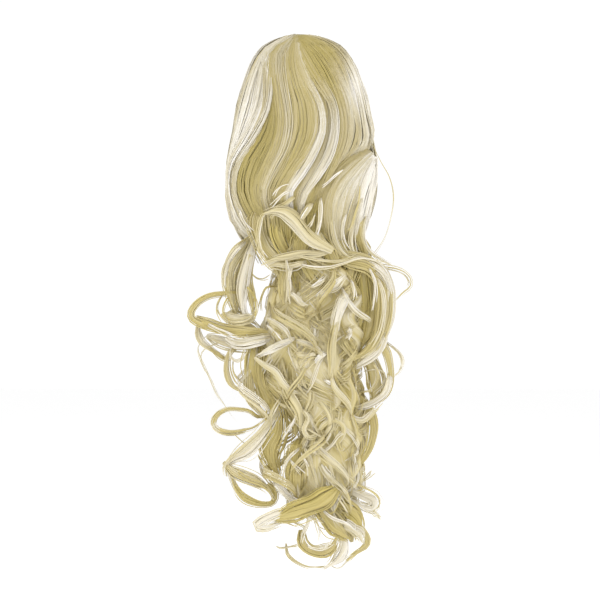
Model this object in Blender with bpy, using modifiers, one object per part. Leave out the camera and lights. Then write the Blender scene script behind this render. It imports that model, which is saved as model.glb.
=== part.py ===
"""A long curled ponytail hairpiece, in metres, +Z up, hanging from its cap.

A domed net cap opens to +Y, where the wearer's tied hair goes in. A comb lies inside its upper rim.
The crown layer of hair falls over the cap like a skirt, and the tail layer hangs from under it.
The origin is the middle of the cap's mouth. The outer side, which is seen when worn, faces -Y.
"""

import math
from collections import namedtuple

import bmesh
import bpy
from mathutils import Matrix, Vector

MM = 0.001
COLLECTION = "ponytail_hairpiece"

# Clearance between two pieces that touch.
SEAT_GAP = 0.3 * MM

# Net cap: a half ellipsoid with its mouth in the plane y = 0.
CAP_RADIUS = 42 * MM
CAP_DEPTH = 34 * MM
CAP_WALL = 2 * MM
CAP_SEGMENTS = 32
CAP_RINGS = 16

# Comb, cut from sheet, lying just inside the mouth.
COMB_THICKNESS = 2.2 * MM
COMB_SETBACK = 2.4 * MM
COMB_HALF_ANGLE = math.radians(36)
COMB_SPINE = 5 * MM
COMB_TEETH = 10
TOOTH_WIDTH = 1.9 * MM
TOOTH_TIP_Z = 11 * MM

# Crown layer, section by section: reach to each side of the origin in mm.
Section = namedtuple("Section", "z left right front back")
CROWN_SECTIONS = (
    Section(54.5, 17, 21, 16, 2),
    Section(50, 27, 31, 26, 3),
    Section(42, 38, 43, 36, 3),
    Section(28, 48, 53, 46, 3),
    Section(10, 55, 60, 55, 4),
    Section(-15, 63, 66, 62, 4),
    Section(-40, 67, 71, 67, 8),
    Section(-70, 73, 77, 70, 14),
    Section(-95, 74, 77, 70, 18),
    Section(-120, 71, 72, 66, 20),
    Section(-142, 64, 66, 57, 18),
    Section(-160, 53, 59, 46, 14),
)
CROWN_AROUND = 36
CROWN_FLUTES = 9
FLUTE_DEPTH = 0.035
FLUTE_SWAY = math.radians(26)
PARTING_X = -4 * MM
PARTING_DEPTH = 4 * MM
PARTING_WIDTH = 3.5 * MM
PARTING_FLOOR_Z = 40 * MM

# Tail layer, its stem and dense middle: centre and half widths in mm.
Core = namedtuple("Core", "z x half_x y half_y")
TAIL_SECTIONS = (
    Core(-28, 0, 30, -20, 12),
    Core(-60, 0, 34, -20, 20),
    Core(-110, 4, 38, -21, 27),
    Core(-172, 12, 40, -20, 29),
    Core(-184, 18, 44, -19, 35),
    Core(-215, 16, 54, -18, 38),
    Core(-250, 14, 56, -17, 37),
    Core(-290, 12, 51, -18, 35),
    Core(-330, 28, 44, -18, 30),
    Core(-345, 34, 36, -18, 27),
    Core(-370, 26, 42, -18, 26),
    Core(-405, 24, 44, -19, 23),
    Core(-432, 26, 34, -20, 17),
    Core(-455, 30, 22, -20, 12),
    Core(-472, 32, 9, -20, 7),
)
CORE_AROUND = 20
CORE_FLUTES = 5
CORE_FLUTE_DEPTH = 0.07
CORE_FLUTES_FROM_Z = -172 * MM
CORE_TWIST_PER_M = 17.0

# One lock each: the coil's axis runs from (x1, y1, z1) to (x2, y2, z2), in mm. deep is the coil's depth
# as a share of its radius, turns is negative for a left-hand coil, start is the angle in degrees where
# it begins, open is how far its rings face -Y, from 0, edge on, to 1, and width is half its breadth.
Lock = namedtuple("Lock", "x1 y1 z1 x2 y2 z2 radius deep turns start open width")

CROWN_LOCKS = (
    Lock(-4, -62, -120, -6, -58, -168, 30, 0.45, 1.0, 330, 0.2, 5.5),
    Lock(54, -20, -64, 56, -40, -168, 16, 0.35, 0.75, 90, 0.2, 15),
    Lock(-54, -22, -50, -48, -32, -158, 15, 0.35, -0.6, 150, 0.1, 13),
    Lock(30, -38, 8, 2, -60, -104, 14, 0.35, 0.75, 120, 0.1, 10),
    Lock(-24, -30, 30, -36, -54, -100, 11, 0.35, 0.8, 130, 0.1, 10),
)

TAIL_LOCKS = (
    Lock(-52, -22, -174, -58, -28, -234, 20, 0.8, 0.65, 270, 0.15, 8.0),
    Lock(-74, -16, -214, -84, -30, -236, 27, 0.8, -1.05, 180, 0.32, 5.5),
    Lock(-72, -24, -238, -62, -20, -304, 26, 0.8, -0.9, 120, 0.25, 6.0),
    Lock(-42, -36, -326, -72, -26, -342, 27, 0.8, -1.2, 180, 0.42, 4.5),
    Lock(-38, -38, -338, -46, -26, -408, 29, 0.8, -1.05, 225, 0.28, 8.0),
    Lock(-44, -14, -392, -46, -22, -412, 20, 0.8, -0.9, 90, 0.5, 5.5),
    Lock(4, -28, -412, 0, -34, -440, 40, 0.8, -0.95, 180, 0.15, 8.0),
    Lock(22, -22, -436, 24, -10, -450, 22, 0.8, -0.75, 40, 0.8, 5.0),
    Lock(36, -20, -416, 30, -16, -480, 32, 0.8, 0.9, 20, 0.2, 7.5),
    Lock(70, -34, -178, 66, -16, -270, 21, 0.8, 1.0, 40, 0.25, 9.0),
    Lock(86, -24, -184, 84, -16, -214, 26, 0.8, 0.95, 20, 0.35, 3.4),
    Lock(66, -20, -266, 64, -26, -320, 24, 0.8, 1.0, 10, 0.35, 7.0),
    Lock(54, -24, -320, 50, -26, -388, 17, 0.8, 0.8, 90, 0.2, 9.5),
    Lock(62, -24, -394, 64, -30, -412, 16, 0.8, 1.1, 0, 0.7, 5.5),
    Lock(-38, -34, -176, -46, -38, -262, 14, 0.8, -1.2, 200, 0.25, 9.0),
    Lock(-48, -34, -258, -42, -37, -362, 15, 0.8, 1.3, 200, 0.2, 9.5),
    Lock(-8, -54, -188, 0, -56, -290, 18, 0.8, 1.3, 200, 0.3, 9.0),
    Lock(28, -54, -184, 42, -54, -282, 16, 0.8, -1.2, 160, 0.25, 9.0),
    Lock(2, -50, -280, 8, -46, -392, 18, 0.8, -1.4, 120, 0.3, 8.5),
    Lock(36, -48, -290, 32, -42, -400, 16, 0.8, 1.5, 30, 0.25, 8.5),
    Lock(-18, -32, -356, -20, -32, -420, 17, 0.8, 1.2, 180, 0.35, 7.5),
    Lock(-40, 10, -180, -52, 14, -300, 16, 0.8, -1.6, 45, 0.15, 9.0),
    Lock(-6, 22, -178, -20, 26, -310, 17, 0.8, 1.5, 160, 0.15, 9.5),
    Lock(34, 22, -178, 26, 26, -320, 16, 0.8, -1.6, 280, 0.15, 9.5),
    Lock(64, 8, -182, 62, 12, -300, 14, 0.8, 1.4, 70, 0.15, 9.0),
    Lock(-14, 4, -300, -28, 2, -408, 16, 0.8, -1.4, 10, 0.2, 8.5),
    Lock(34, 12, -316, 36, 0, -424, 16, 0.8, 1.4, 200, 0.2, 8.5),
)
LOCK_POINTS = 15
LOCK_SIDES_SETTING = 1
COIL_GROWTH = 0.35
TIP_TAPER = 0.28
ROOT_TAPER = 0.35

HAIR = ("hair", (0.72, 0.66, 0.45, 1.0), 0.38)
NET = ("net", (0.66, 0.60, 0.44, 1.0), 0.80)
PLASTIC = ("plastic", (0.62, 0.54, 0.36, 1.0), 0.35)


def clear_scene():
    """Removes every object that the file opened with."""
    for obj in list(bpy.data.objects):
        bpy.data.objects.remove(obj)


def collection_for(name, hidden=False):
    """A new collection in the scene; a hidden one is kept out of renders."""
    collection = bpy.data.collections.new(name)
    collection.hide_render = hidden
    bpy.context.scene.collection.children.link(collection)
    return collection


def material_for(finish):
    """A Principled material from a (name, colour, roughness) finish."""
    name, colour, roughness = finish
    material = bpy.data.materials.new(name)
    material.use_nodes = True
    shader = material.node_tree.nodes["Principled BSDF"]
    shader.inputs["Base Color"].default_value = colour
    shader.inputs["Roughness"].default_value = roughness
    return material


def object_from_bmesh(bm, name, collection):
    """Turns a bmesh into an object with flat triangles that point outwards."""
    bmesh.ops.triangulate(bm, faces=bm.faces)
    bmesh.ops.recalc_face_normals(bm, faces=bm.faces)
    mesh = bpy.data.meshes.new(name)
    bm.to_mesh(mesh)
    bm.free()
    obj = bpy.data.objects.new(name, mesh)
    collection.objects.link(obj)
    return obj


def smooth_step(value):
    """Rises from 0 to 1 with level ends."""
    t = min(max(value, 0.0), 1.0)
    return t * t * (3 - 2 * t)


def loft(rings, name, collection):
    """A closed solid through rings of points, which all have the same count."""
    bm = bmesh.new()
    rows = [[bm.verts.new(point) for point in ring] for ring in rings]
    count = len(rows[0])
    for upper, lower in zip(rows, rows[1:]):
        for i in range(count):
            j = (i + 1) % count
            bm.faces.new((upper[i], upper[j], lower[j], lower[i]))
    for row in (rows[0], rows[-1]):
        middle = sum((vert.co for vert in row), Vector()) / count
        hub = bm.verts.new(middle)
        for i in range(count):
            bm.faces.new((row[i], row[(i + 1) % count], hub))
    return object_from_bmesh(bm, name, collection)


def crown_ring(section):
    """One fluted ring of the crown layer, dented at the parting near its top."""
    z = section.z * MM
    top, bottom = CROWN_SECTIONS[0].z, CROWN_SECTIONS[-1].z
    fall = (top - section.z) / (top - bottom)
    ring = []
    for i in range(CROWN_AROUND):
        angle = 2 * math.pi * i / CROWN_AROUND
        sway = FLUTE_SWAY * math.sin(2 * math.pi * fall)
        flute = math.cos(CROWN_FLUTES * (angle + sway))
        swell = 1 + FLUTE_DEPTH * smooth_step(4 * fall) * flute
        side = section.right if math.cos(angle) > 0 else section.left
        x = side * MM * math.cos(angle) * swell
        if math.sin(angle) > 0:
            y = section.back * MM * math.sin(angle)
        else:
            y = section.front * MM * math.sin(angle) * swell
        dent = 0.0
        if z > PARTING_FLOOR_Z:
            dent = PARTING_DEPTH * math.exp(-(((x - PARTING_X) / PARTING_WIDTH) ** 2))
        ring.append(Vector((x, y, z - dent)))
    return ring


def tail_ring(core, grow=0.0):
    """One ring of the tail's dense middle, larger all round by grow. Its stem has no flutes."""
    z = core.z * MM
    depth = CORE_FLUTE_DEPTH if z < CORE_FLUTES_FROM_Z else 0.0
    ring = []
    for i in range(CORE_AROUND):
        angle = 2 * math.pi * i / CORE_AROUND
        flute = math.cos(CORE_FLUTES * angle + CORE_TWIST_PER_M * z)
        swell = 1 + depth * flute
        x = core.x * MM + (core.half_x * MM * swell + grow) * math.cos(angle)
        y = core.y * MM + (core.half_y * MM * swell + grow) * math.sin(angle)
        ring.append(Vector((x, y, z)))
    return ring


def lock_path(lock, points=LOCK_POINTS):
    """The line that a lock follows: a coil round its axis that starts narrow and opens out."""
    start = Vector((lock.x1, lock.y1, lock.z1)) * MM
    end = Vector((lock.x2, lock.y2, lock.z2)) * MM
    along = (end - start).normalized()
    forward = Vector((0, -1, 0))
    across = along.cross(forward).normalized()
    facing = across.cross(along).normalized()
    tilted = facing * lock.deep * math.sqrt(1 - lock.open**2) - along * lock.open
    path = []
    for i in range(points):
        t = i / (points - 1)
        turn = math.radians(lock.start) + 2 * math.pi * lock.turns * t
        reach = lock.radius * MM * (COIL_GROWTH + (1 - COIL_GROWTH) * smooth_step(3 * t))
        ring = across * math.cos(turn) + tilted * math.sin(turn)
        path.append(start + (end - start) * t + ring * reach)
    return path


def lock_taper(t):
    """How thick a lock is along its length, as a share of its width."""
    root = ROOT_TAPER + (1 - ROOT_TAPER) * smooth_step(4 * t)
    tip = TIP_TAPER + (1 - TIP_TAPER) * smooth_step(3 * (1 - t))
    return root * tip


def lock_solid(lock, name, collection):
    """A lock as a tapered tube, made a closed mesh."""
    path = lock_path(lock)
    curve = bpy.data.curves.new(name, "CURVE")
    curve.dimensions = "3D"
    curve.bevel_depth = lock.width * MM
    curve.bevel_resolution = LOCK_SIDES_SETTING
    curve.use_fill_caps = True
    spline = curve.splines.new("POLY")
    spline.points.add(len(path) - 1)
    for i, point in enumerate(path):
        spline.points[i].co = (*point, 1)
        spline.points[i].radius = lock_taper(i / (len(path) - 1))
    return mesh_of_curve(curve, name, collection)


def mesh_of_curve(curve, name, collection, matrix=None):
    """Turns a curve with caps into an object with one closed mesh, and removes the curve."""
    holder = bpy.data.objects.new(name + "_curve", curve)
    collection.objects.link(holder)
    if matrix is not None:
        holder.matrix_world = matrix
    bpy.context.view_layer.update()
    graph = bpy.context.evaluated_depsgraph_get()
    mesh = bpy.data.meshes.new_from_object(holder.evaluated_get(graph))
    world = holder.matrix_world.copy()
    bpy.data.objects.remove(holder)
    bm = bmesh.new()
    bm.from_mesh(mesh)
    bpy.data.meshes.remove(mesh)
    bmesh.ops.transform(bm, matrix=world, verts=bm.verts)
    bmesh.ops.remove_doubles(bm, verts=bm.verts, dist=1e-6)
    return object_from_bmesh(bm, name, collection)


def combine(target, others, operation):
    """Joins others to target, or cuts them from it, one Boolean after another, and applies them."""
    for other in others:
        modifier = target.modifiers.new(operation.lower(), "BOOLEAN")
        modifier.operation = operation
        modifier.solver = "EXACT"
        modifier.object = other
    bpy.context.view_layer.update()
    graph = bpy.context.evaluated_depsgraph_get()
    mesh = bpy.data.meshes.new_from_object(target.evaluated_get(graph))
    old = target.data
    target.modifiers.clear()
    target.data = mesh
    bpy.data.meshes.remove(old)


def discard(objects):
    """Removes objects that have been joined into another."""
    for obj in objects:
        bpy.data.objects.remove(obj)


def half_dome(radius, depth):
    """An open half ellipsoid as a bmesh, its rim in the plane y = 0 and its bulge towards -Y."""
    bm = bmesh.new()
    bmesh.ops.create_uvsphere(bm, u_segments=CAP_SEGMENTS, v_segments=CAP_RINGS, radius=1)
    far_side = [vert for vert in bm.verts if vert.co.z < -1e-6]
    bmesh.ops.delete(bm, geom=far_side, context="VERTS")
    bmesh.ops.transform(bm, matrix=Matrix.Rotation(math.radians(90), 4, "X"), verts=bm.verts)
    bmesh.ops.scale(bm, vec=(radius, depth, radius), verts=bm.verts)
    return bm


def build_cap(collection):
    """The net cap: a thin domed wall, open towards +Y."""
    cap = object_from_bmesh(half_dome(CAP_RADIUS, CAP_DEPTH), "cap", collection)
    wall = cap.modifiers.new("wall", "SOLIDIFY")
    wall.thickness = CAP_WALL
    wall.offset = -1
    wall.use_even_offset = True
    return cap


def cap_cutter(collection):
    """The cap's outer form grown by the seat gap, run out past the mouth."""
    bm = half_dome(CAP_RADIUS + SEAT_GAP, CAP_DEPTH + SEAT_GAP)
    rim = [edge for edge in bm.edges if edge.is_boundary]
    moved = bmesh.ops.extrude_edge_only(bm, edges=rim)["geom"]
    verts = [item for item in moved if isinstance(item, bmesh.types.BMVert)]
    bmesh.ops.translate(bm, vec=(0, CAP_RADIUS, 0), verts=verts)
    bmesh.ops.holes_fill(bm, edges=[edge for edge in bm.edges if edge.is_boundary])
    cutter = object_from_bmesh(bm, "cap_room", collection)
    return mark_as_cutter(cutter)


def stem_cutter(collection):
    """The tail's stem grown by the seat gap, run out past the crown layer's hem."""
    rings = [tail_ring(core, SEAT_GAP) for core in TAIL_SECTIONS[:4]]
    below = [point + Vector((0, 0, -CAP_RADIUS)) for point in rings[-1]]
    cutter = loft([*rings, below], "stem_room", collection)
    return mark_as_cutter(cutter)


def mark_as_cutter(obj):
    """Keeps a cutting shape out of renders."""
    obj.hide_render = True
    obj.display_type = "WIRE"
    return obj


def comb_radius():
    """The comb's top edge follows the cap's inner wall where the comb lies."""
    inner_depth = CAP_DEPTH - CAP_WALL
    deepest = COMB_SETBACK + COMB_THICKNESS
    narrowing = math.sqrt(1 - (deepest / inner_depth) ** 2)
    facet = math.cos(math.pi / CAP_SEGMENTS)
    return (CAP_RADIUS - CAP_WALL) * narrowing * facet - SEAT_GAP


def comb_outline():
    """The comb's outline in its own plane: the arched spine, then its teeth from right to left."""
    top = comb_radius()
    under = top - COMB_SPINE
    arc_steps = 14
    outline = []
    for i in range(arc_steps + 1):
        angle = math.pi / 2 + COMB_HALF_ANGLE * (1 - 2 * i / arc_steps)
        outline.append((top * math.cos(angle), top * math.sin(angle)))
    half_span = under * math.sin(COMB_HALF_ANGLE) - TOOTH_WIDTH / 2
    tip_steps = 4
    for k in range(COMB_TEETH):
        middle = half_span * (1 - 2 * k / (COMB_TEETH - 1))
        right, left = middle + TOOTH_WIDTH / 2, middle - TOOTH_WIDTH / 2
        outline.append((right, math.sqrt(under**2 - right**2)))
        for i in range(tip_steps + 1):
            angle = -math.pi * i / tip_steps
            x = middle + TOOTH_WIDTH / 2 * math.cos(angle)
            outline.append((x, TOOTH_TIP_Z + TOOTH_WIDTH / 2 * math.sin(angle)))
        outline.append((left, math.sqrt(under**2 - left**2)))
    return outline


def build_comb(collection):
    """A plain one-piece comb, its teeth pointing down across the upper part of the mouth."""
    curve = bpy.data.curves.new("comb", "CURVE")
    curve.dimensions = "2D"
    curve.fill_mode = "BOTH"
    curve.extrude = COMB_THICKNESS / 2
    outline = comb_outline()
    spline = curve.splines.new("POLY")
    spline.points.add(len(outline) - 1)
    for point, (x, y) in zip(spline.points, outline):
        point.co = (x, y, 0, 1)
    spline.use_cyclic_u = True
    upright = Matrix.Rotation(math.radians(90), 4, "X")
    middle = Matrix.Translation((0, -(COMB_SETBACK + COMB_THICKNESS / 2), 0))
    return mesh_of_curve(curve, "comb", collection, middle @ upright)


def build_crown(collection, cutters):
    """The crown layer: a fluted skirt with its broad locks, hollowed for the cap and the stem."""
    rings = [crown_ring(section) for section in CROWN_SECTIONS]
    crown = loft(rings, "crown_hair", collection)
    locks = [
        lock_solid(lock, f"crown_lock_{i}", collection) for i, lock in enumerate(CROWN_LOCKS)
    ]
    combine(crown, locks, "UNION")
    discard(locks)
    combine(crown, cutters, "DIFFERENCE")
    return crown


def build_tail(collection, cap_room):
    """The tail layer: its dense middle with every curled lock joined to it."""
    rings = [tail_ring(core) for core in TAIL_SECTIONS]
    tail = loft(rings, "tail_hair", collection)
    locks = [
        lock_solid(lock, f"tail_lock_{i}", collection) for i, lock in enumerate(TAIL_LOCKS)
    ]
    combine(tail, locks, "UNION")
    discard(locks)
    combine(tail, [cap_room], "DIFFERENCE")
    return tail


def finish(obj, material, smooth_angle=math.radians(50)):
    """Gives a piece its material and smooth shading."""
    obj.data.materials.clear()
    obj.data.materials.append(material)
    obj.data.shade_smooth()
    obj.data.set_sharp_from_angle(angle=smooth_angle)


def main():
    """Builds the four pieces."""
    clear_scene()
    pieces = collection_for(COLLECTION)
    cutters = collection_for("cutters", hidden=True)
    hair = material_for(HAIR)
    cap_room = cap_cutter(cutters)
    stem_room = stem_cutter(cutters)
    finish(build_cap(pieces), material_for(NET))
    finish(build_comb(pieces), material_for(PLASTIC))
    finish(build_crown(pieces, [cap_room, stem_room]), hair)
    finish(build_tail(pieces, cap_room), hair)


main()
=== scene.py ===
"""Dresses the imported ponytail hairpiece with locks, strands, a net cap and a comb, for a studio picture.

Every size is in metres in the row's frame, +Z up, with the seen side towards -Y; tables are in mm.
The tables of the crown's levels, of the tail's levels and of the coils repeat the part's own source.
"""

import logging
import math
from dataclasses import dataclass, field, replace
from enum import Enum

import bmesh
import bpy
import numpy as np
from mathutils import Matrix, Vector


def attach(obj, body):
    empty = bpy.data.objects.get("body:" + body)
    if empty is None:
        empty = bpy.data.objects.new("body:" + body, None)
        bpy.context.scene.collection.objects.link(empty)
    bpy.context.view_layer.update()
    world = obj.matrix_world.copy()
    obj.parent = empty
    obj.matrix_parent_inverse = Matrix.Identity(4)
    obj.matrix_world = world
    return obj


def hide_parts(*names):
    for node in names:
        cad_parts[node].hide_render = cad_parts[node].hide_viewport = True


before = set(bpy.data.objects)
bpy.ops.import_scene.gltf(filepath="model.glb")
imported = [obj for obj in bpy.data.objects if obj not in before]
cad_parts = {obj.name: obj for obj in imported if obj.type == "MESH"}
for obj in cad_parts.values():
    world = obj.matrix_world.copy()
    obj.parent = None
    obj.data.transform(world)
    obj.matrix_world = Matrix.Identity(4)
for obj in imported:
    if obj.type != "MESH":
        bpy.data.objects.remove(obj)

LOG = logging.getLogger("ponytail")
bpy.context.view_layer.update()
MM = 0.001
BODY = "root"
BAKE_MAP = "OFBake"
GUIDE_LAYERS = (
    ("side", "FLOAT_VECTOR", "vector", np.float32),
    ("out", "FLOAT_VECTOR", "vector", np.float32),
    ("half_width", "FLOAT", "value", np.float32),
    ("half_thick", "FLOAT", "value", np.float32),
    ("along", "FLOAT", "value", np.float32),
    ("tone", "FLOAT", "value", np.float32),
    ("copies", "INT", "value", np.int32),
)
TREE_WORDS = ("centre", "turned", "lifted", "toned", "drifted", "reach", "round")
# Waves on the tail's middle: height as a share of its width, how many go round it, how many
# radians they turn from its top to its end, and phase.
FOLDS = ((0.045, 7, 9, 0), (0.03, 13, -14, 1), (0.035, 5, 34, 0), (0.03, 3, -52, 0))
# The share of a full turn from one lock to the next, so that none lie in line.
GOLDEN_SHARE = 0.381966
TAIL_MIDDLE_Y = -20 * MM
GUIDE_POINTS = 24
FRONT_ANGLE = 270  # degrees
MAP_MARGIN = 0.01
# The solid lock below a bundle of strands: its size as a share of the bundle's, and half the width
# in mm from which a bundle gets one.
BODY_WIDTH = 0.7
BODY_THICKNESS = 0.55
LEAST_CROWN_BODY = 1.0
LEAST_CURL_BODY = 2.1

Rng = np.random.Generator
Socket = bpy.types.NodeSocket
Colour = tuple[float, float, float]
Paint = tuple[bpy.types.Material, str]


class Finish(Enum):
    """The names of two material slots, hair and net."""

    HAIR = "hair"
    NET = "net"


class ToneSource(Enum):
    """Where the hair's finish reads how pale a place is."""

    MAP = "the map's first coordinate"
    ATTRIBUTE = "the attribute tone"


@dataclass(frozen=True)
class CrownRow:
    """One level of the crown layer: its height and its reach to each side, in mm."""

    z: float
    left: float
    right: float
    front: float
    back: float


@dataclass(frozen=True)
class TailRow:
    """One level of the tail's dense middle: centre and half widths, in mm."""

    z: float
    x: float
    half_x: float
    y: float
    half_y: float


@dataclass(frozen=True)
class CoilRow:
    """One coiled lock, as in the part's source."""

    x1: float
    y1: float
    z1: float
    x2: float
    y2: float
    z2: float
    radius: float
    deep: float
    turns: float
    start: float
    open: float
    width: float


@dataclass(frozen=True)
class FlowRow:
    """One line that the crown's hair follows on its front.

    The hair sinks below the crown's form by sink. Its tone from 0, shadow, to 1, palest, is given
    at its top, at its middle and low down. The line runs through the points of the columns x and z,
    which are equally spaced.
    """

    sink: float
    top: float
    middle: float
    low: float
    x: tuple[float, ...]
    z: tuple[float, ...]


@dataclass(frozen=True)
class StrokeRow:
    """One curl as it is seen from the front, through the points of the columns x and z.

    Its depth goes from y1 to y2. Tilt is 0 degrees where its breadth faces the front and 90 where
    it stands on edge.
    """

    width: float
    tone: float
    y1: float
    y2: float
    tilt: float
    x: tuple[float, ...]
    z: tuple[float, ...]


CROWN_ROWS = tuple(CrownRow(*row) for row in (
    (56.0, 6, 9, 5, 1),
    (54.5, 17, 21, 16, 2),
    (50, 27, 31, 26, 3),
    (42, 38, 43, 36, 3),
    (28, 48, 53, 46, 3),
    (10, 55, 60, 55, 4),
    (-15, 63, 66, 62, 4),
    (-40, 67, 71, 67, 8),
    (-70, 73, 77, 70, 14),
    (-95, 74, 77, 70, 18),
    (-120, 71, 72, 66, 20),
    (-142, 64, 66, 57, 18),
    (-160, 53, 61, 46, 14),
    (-178, 44, 56, 40, 12),
))

# From the left edge to the right one: bands, the olive hollow, the two S-shaped bands, the right side.
# The pale tones of the bands and the right side are partly painted highlights; the hollow's tones near 0
# are painted shade.
FLOW_ROWS = tuple(FlowRow(*row) for row in (
    (0, 0.5, 0.75, 0.6, (-7, -34, -49, -59, -65, -72, -71, -67, -48),
     (55, 41, 15, -15, -45, -75, -106, -136, -160)),
    (0, 0.75, 0.95, 0.75, (-8, -33, -43, -49, -59, -70, -71, -64, -46),
     (54, 38, 10, -20, -48, -76, -106, -135, -159)),
    (0, 0.7, 0.95, 0.75, (-9, -30, -31, -36, -51, -68, -70, -59, -43),
     (52, 32, 3, -26, -52, -76, -105, -133, -158)),
    (6, 0.3, 0.0, 0.0, (-9, -29, -30, -33, -45, -62, -67, -54, -41),
     (52, 32, 3, -26, -52, -76, -104, -130, -156)),
    (8, 0.2, 0.0, 0.0, (-9, -27, -28, -27, -34, -50, -57, -48, -38),
     (51, 31, 3, -25, -52, -75, -102, -128, -154)),
    (6, 0.15, 0.0, 0.02, (-9, -26, -27, -24, -26, -37, -48, -43, -36),
     (51, 31, 4, -23, -50, -75, -100, -126, -152)),
    (1, 0.15, 0.12, 0.2, (-9, -24, -26, -22, -20, -25, -34, -40, -36),
     (51, 33, 9, -15, -39, -63, -85, -108, -132)),
    (0, 0.35, 0.42, 0.45, (-8, -19, -18, -15, -13, -18, -28, -35, -31),
     (50, 30, 6, -17, -41, -64, -85, -107, -130)),
    (1, 0.2, 0.15, 0.22, (-7, -13, -10, -4, -3, -9, -20, -30, -25),
     (48, 25, 2, -20, -44, -66, -87, -108, -130)),
    (2, 0.15, 0.1, 0.15, (-5, -6, -1, 7, 8, 0, -12, -23, -19), (46, 23, 0, -22, -46, -67, -88, -109, -131)),
    (1, 0.2, 0.12, 0.2, (-4, -3, 5, 15, 16, 7, -8, -18, -14), (46, 22, 0, -22, -46, -68, -87, -109, -132)),
    (0, 0.4, 0.85, 0.8, (-4, 0, 9, 20, 22, 13, 0, -13, -8), (46, 22, 0, -22, -46, -68, -89, -109, -133)),
    (4, 0.1, 0.05, 0.12, (-3, 3, 14, 25, 27, 19, 5, -6, -3), (46, 22, 0, -21, -46, -69, -89, -111, -135)),
    (0, 0.12, 0.92, 0.85, (-2, 7, 19, 32, 34, 28, 16, 3, -1), (48, 25, 3, -19, -44, -69, -91, -112, -136)),
    (4, 0.0, 0.02, 0.08, (-1, 12, 24, 35, 38, 32, 21, 10, 4), (49, 27, 5, -18, -43, -68, -91, -113, -138)),
    (1, 0.0, 0.3, 0.2, (0, 16, 28, 38, 44, 42, 33, 23, 16), (50, 32, 12, -10, -33, -57, -80, -101, -124)),
    (1, 0.0, 0.6, 0.3, (2, 18, 30, 39, 47, 50, 48, 42, 33), (51, 39, 24, 6, -12, -31, -51, -69, -87)),
    (1, 0.04, 0.92, 0.4, (4, 21, 35, 45, 51, 55, 58, 54, 43), (52, 43, 30, 13, -5, -24, -43, -62, -78)),
    (0, 0.3, 0.97, 0.65, (8, 26, 40, 50, 57, 61, 64, 67, 62), (53, 47, 37, 21, 4, -14, -32, -50, -67)),
    (0, 0.55, 0.9, 0.7, (12, 29, 43, 54, 60, 65, 69, 73, 76), (54, 49, 39, 25, 9, -8, -26, -43, -60)),
))

# The lobe that comes out from behind the right side and curls in at the hem.
# Its first row, sunk below the front's sheet, is dark: painted shade. Its pale rows are partly painted
# highlights.
LOBE_ROWS = tuple(FlowRow(*row) for row in (
    (8, 0.03, 0.05, 0.1, (73, 51, 32, 19, 23, 36), (-58, -73, -91, -115, -141, -164)),
    (3, 0.35, 0.35, 0.35, (74, 54, 37, 28, 30, 41), (-62, -78, -97, -121, -146, -169)),
    (1, 0.65, 0.5, 0.5, (74, 56, 42, 33, 34, 45), (-64, -81, -101, -123, -147, -169)),
    (1, 0.8, 0.6, 0.5, (75, 60, 48, 41, 40, 49), (-66, -84, -103, -125, -148, -169)),
    (1, 0.9, 0.5, 0.45, (75, 64, 56, 49, 47, 53), (-67, -86, -106, -127, -148, -169)),
    (0, 1.0, 0.8, 0.55, (76, 69, 62, 57, 53, 58), (-68, -88, -108, -129, -149, -169)),
    (0, 1.0, 0.95, 0.7, (77, 73, 68, 63, 58, 64), (-69, -89, -110, -130, -150, -169)),
    (0, 0.9, 0.9, 0.7, (77, 76, 72, 68, 63, 70), (-70, -91, -111, -132, -152, -170)),
))

# The hair that shows below the bands, made darker: painted shade below the bands.
HEM_ROWS = tuple(FlowRow(*row) for row in (
    (8, 0.25, 0.2, 0.2, (-38, -37, -36, -34, -32), (-108, -125, -142, -159, -176)),
    (8, 0.1, 0.05, 0.12, (-24, -26, -25, -23, -21), (-108, -125, -142, -159, -176)),
    (8, 0.05, 0.02, 0.12, (-8, -12, -12, -10, -9), (-108, -125, -142, -159, -176)),
    (8, 0.04, 0.02, 0.15, (8, 3, 2, 3, 3), (-106, -123, -141, -158, -176)),
    (8, 0.05, 0.03, 0.2, (20, 15, 12, 13, 15), (-102, -120, -139, -157, -176)),
    (7, 0.1, 0.12, 0.25, (30, 26, 25, 27, 31), (-100, -119, -138, -157, -176)),
    (6, 0.2, 0.3, 0.3, (40, 38, 37, 40, 45), (-100, -119, -138, -157, -176)),
))

TAIL_ROWS = tuple(TailRow(*row) for row in (
    (-28, 0, 30, -20, 12),
    (-60, 0, 34, -20, 20),
    (-110, 4, 38, -21, 27),
    (-172, 12, 40, -20, 29),
    (-184, 18, 44, -19, 35),
    (-215, 16, 54, -18, 38),
    (-250, 14, 56, -17, 37),
    (-290, 12, 51, -18, 35),
    (-330, 28, 44, -18, 30),
    (-345, 34, 36, -18, 27),
    (-370, 26, 42, -18, 26),
    (-405, 24, 44, -19, 23),
    (-432, 26, 34, -20, 17),
    (-455, 30, 22, -20, 12),
    (-472, 32, 9, -20, 7),
))

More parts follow.
